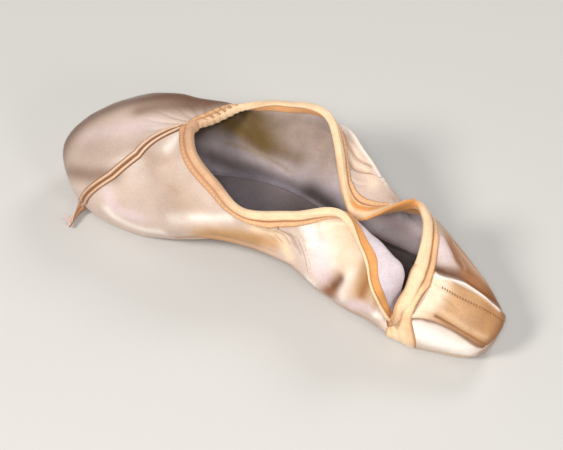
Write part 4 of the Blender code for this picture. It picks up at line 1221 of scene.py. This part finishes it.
def make_stage():
    """Pale floor under the shoe."""
    material, _, _ = principled("studio_floor", {"Base Color": FLOOR_TONE, "Roughness": 0.9})
    mesh = bpy.data.meshes.new("floor")
    size = FLOOR_HALF
    corners = [(-size, -size, 0), (size, -size, 0), (size, size, 0), (-size, size, 0)]
    mesh.from_pydata(corners, [], [(0, 1, 2, 3)])
    floor = add_object("floor", mesh, material)


def aimed(name, data, spot, target):
    """A lamp or camera at a place, with its -Z axis turned to a point."""
    thing = bpy.data.objects.new(name, data)
    thing.location = spot
    way = thing.location - thing.location.__class__(target)
    thing.rotation_euler = way.to_track_quat("Z", "Y").to_euler()
    bpy.context.scene.collection.objects.link(thing)
    return thing


def make_lights():
    for name, spot, power, side, colour in LIGHTS:
        data = bpy.data.lights.new(name, "AREA")
        data.energy, data.size, data.color = power, side, colour
        aimed(name, data, spot, LIT_POINT)
    world = bpy.data.worlds.new("studio")
    world.use_nodes = True
    sky = world.node_tree.nodes["Background"]
    sky.inputs["Color"].default_value = SKY
    sky.inputs["Strength"].default_value = SKY_STRENGTH
    bpy.context.scene.world = world


def make_camera():
    a, e = math.radians(VIEW_AZIMUTH), math.radians(VIEW_ELEVATION)
    back = np.array([math.sin(a) * math.cos(e), -math.cos(a) * math.cos(e), math.sin(e)])
    data = bpy.data.cameras.new("camera")
    data.lens, data.sensor_width = LENS, SENSOR
    bpy.context.scene.camera = aimed("camera", data, VIEW_FROM + back * VIEW_DISTANCE, VIEW_TO)


def main():
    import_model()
    looks = {cloth[0]: painted_cloth(*cloth) for cloth in CLOTHS}
    satin = looks["satin"]
    above = OUTSOLE + GAP + WALL + GAP
    made = [
        (satin_panel("near_quarter", BACK_SEAM, NEAR_SEAM, QUARTER_COLUMNS, satin), "upper", "satin"),
        (satin_panel("vamp", NEAR_SEAM, FAR_SEAM, VAMP_COLUMNS, satin, lap=LAP), "upper", "satin"),
        (satin_panel("far_quarter", FAR_SEAM, BACK_SEAM, FAR_COLUMNS, satin), "upper", "satin"),
        (lining_sheet(looks["lining"]), "upper", "satin"),
        (collar_casing(looks["binding"]), "collar_binding", "binding"),
        (back_tape(looks["tape"]), "back_strip", "tape"),
        (frayed_tail(looks["thread"]), "back_strip", "tape"),
        (vamp_panel(looks["worn_satin"]), "vamp_strip", "worn_satin"),
        (whip_stitches(looks["thread"]), "vamp_strip", "worn_satin"),
        (band_end(looks["binding"]), "collar_binding", "binding"),
        (binding_stitches(looks["thread"]), "collar_binding", "binding"),
        (seam_stitches(looks["thread"]), "upper", "satin"),
        (sole_plate("leather_sole", sole_outline(outsole_point), 0.0, OUTSOLE, looks["sole_leather"],
                    OUTSOLE_TONE, SOLE_PAINT, OUTSOLE_ROUND), "outsole", "sole_leather"),
        (sole_plate("sock", sole_outline(insole_point), above, above + INSOLE, looks["sock"],
                    SOCK_TONE, SOCK_PAINT, SOCK_ROUND), "insole", "board"),
    ]
    for piece, stands_for, finish in made:
        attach(piece, "root")
        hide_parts(stands_for)
    make_stage()
    make_lights()
    make_camera()
    bpy.context.scene.view_settings.view_transform = "Standard"


main()
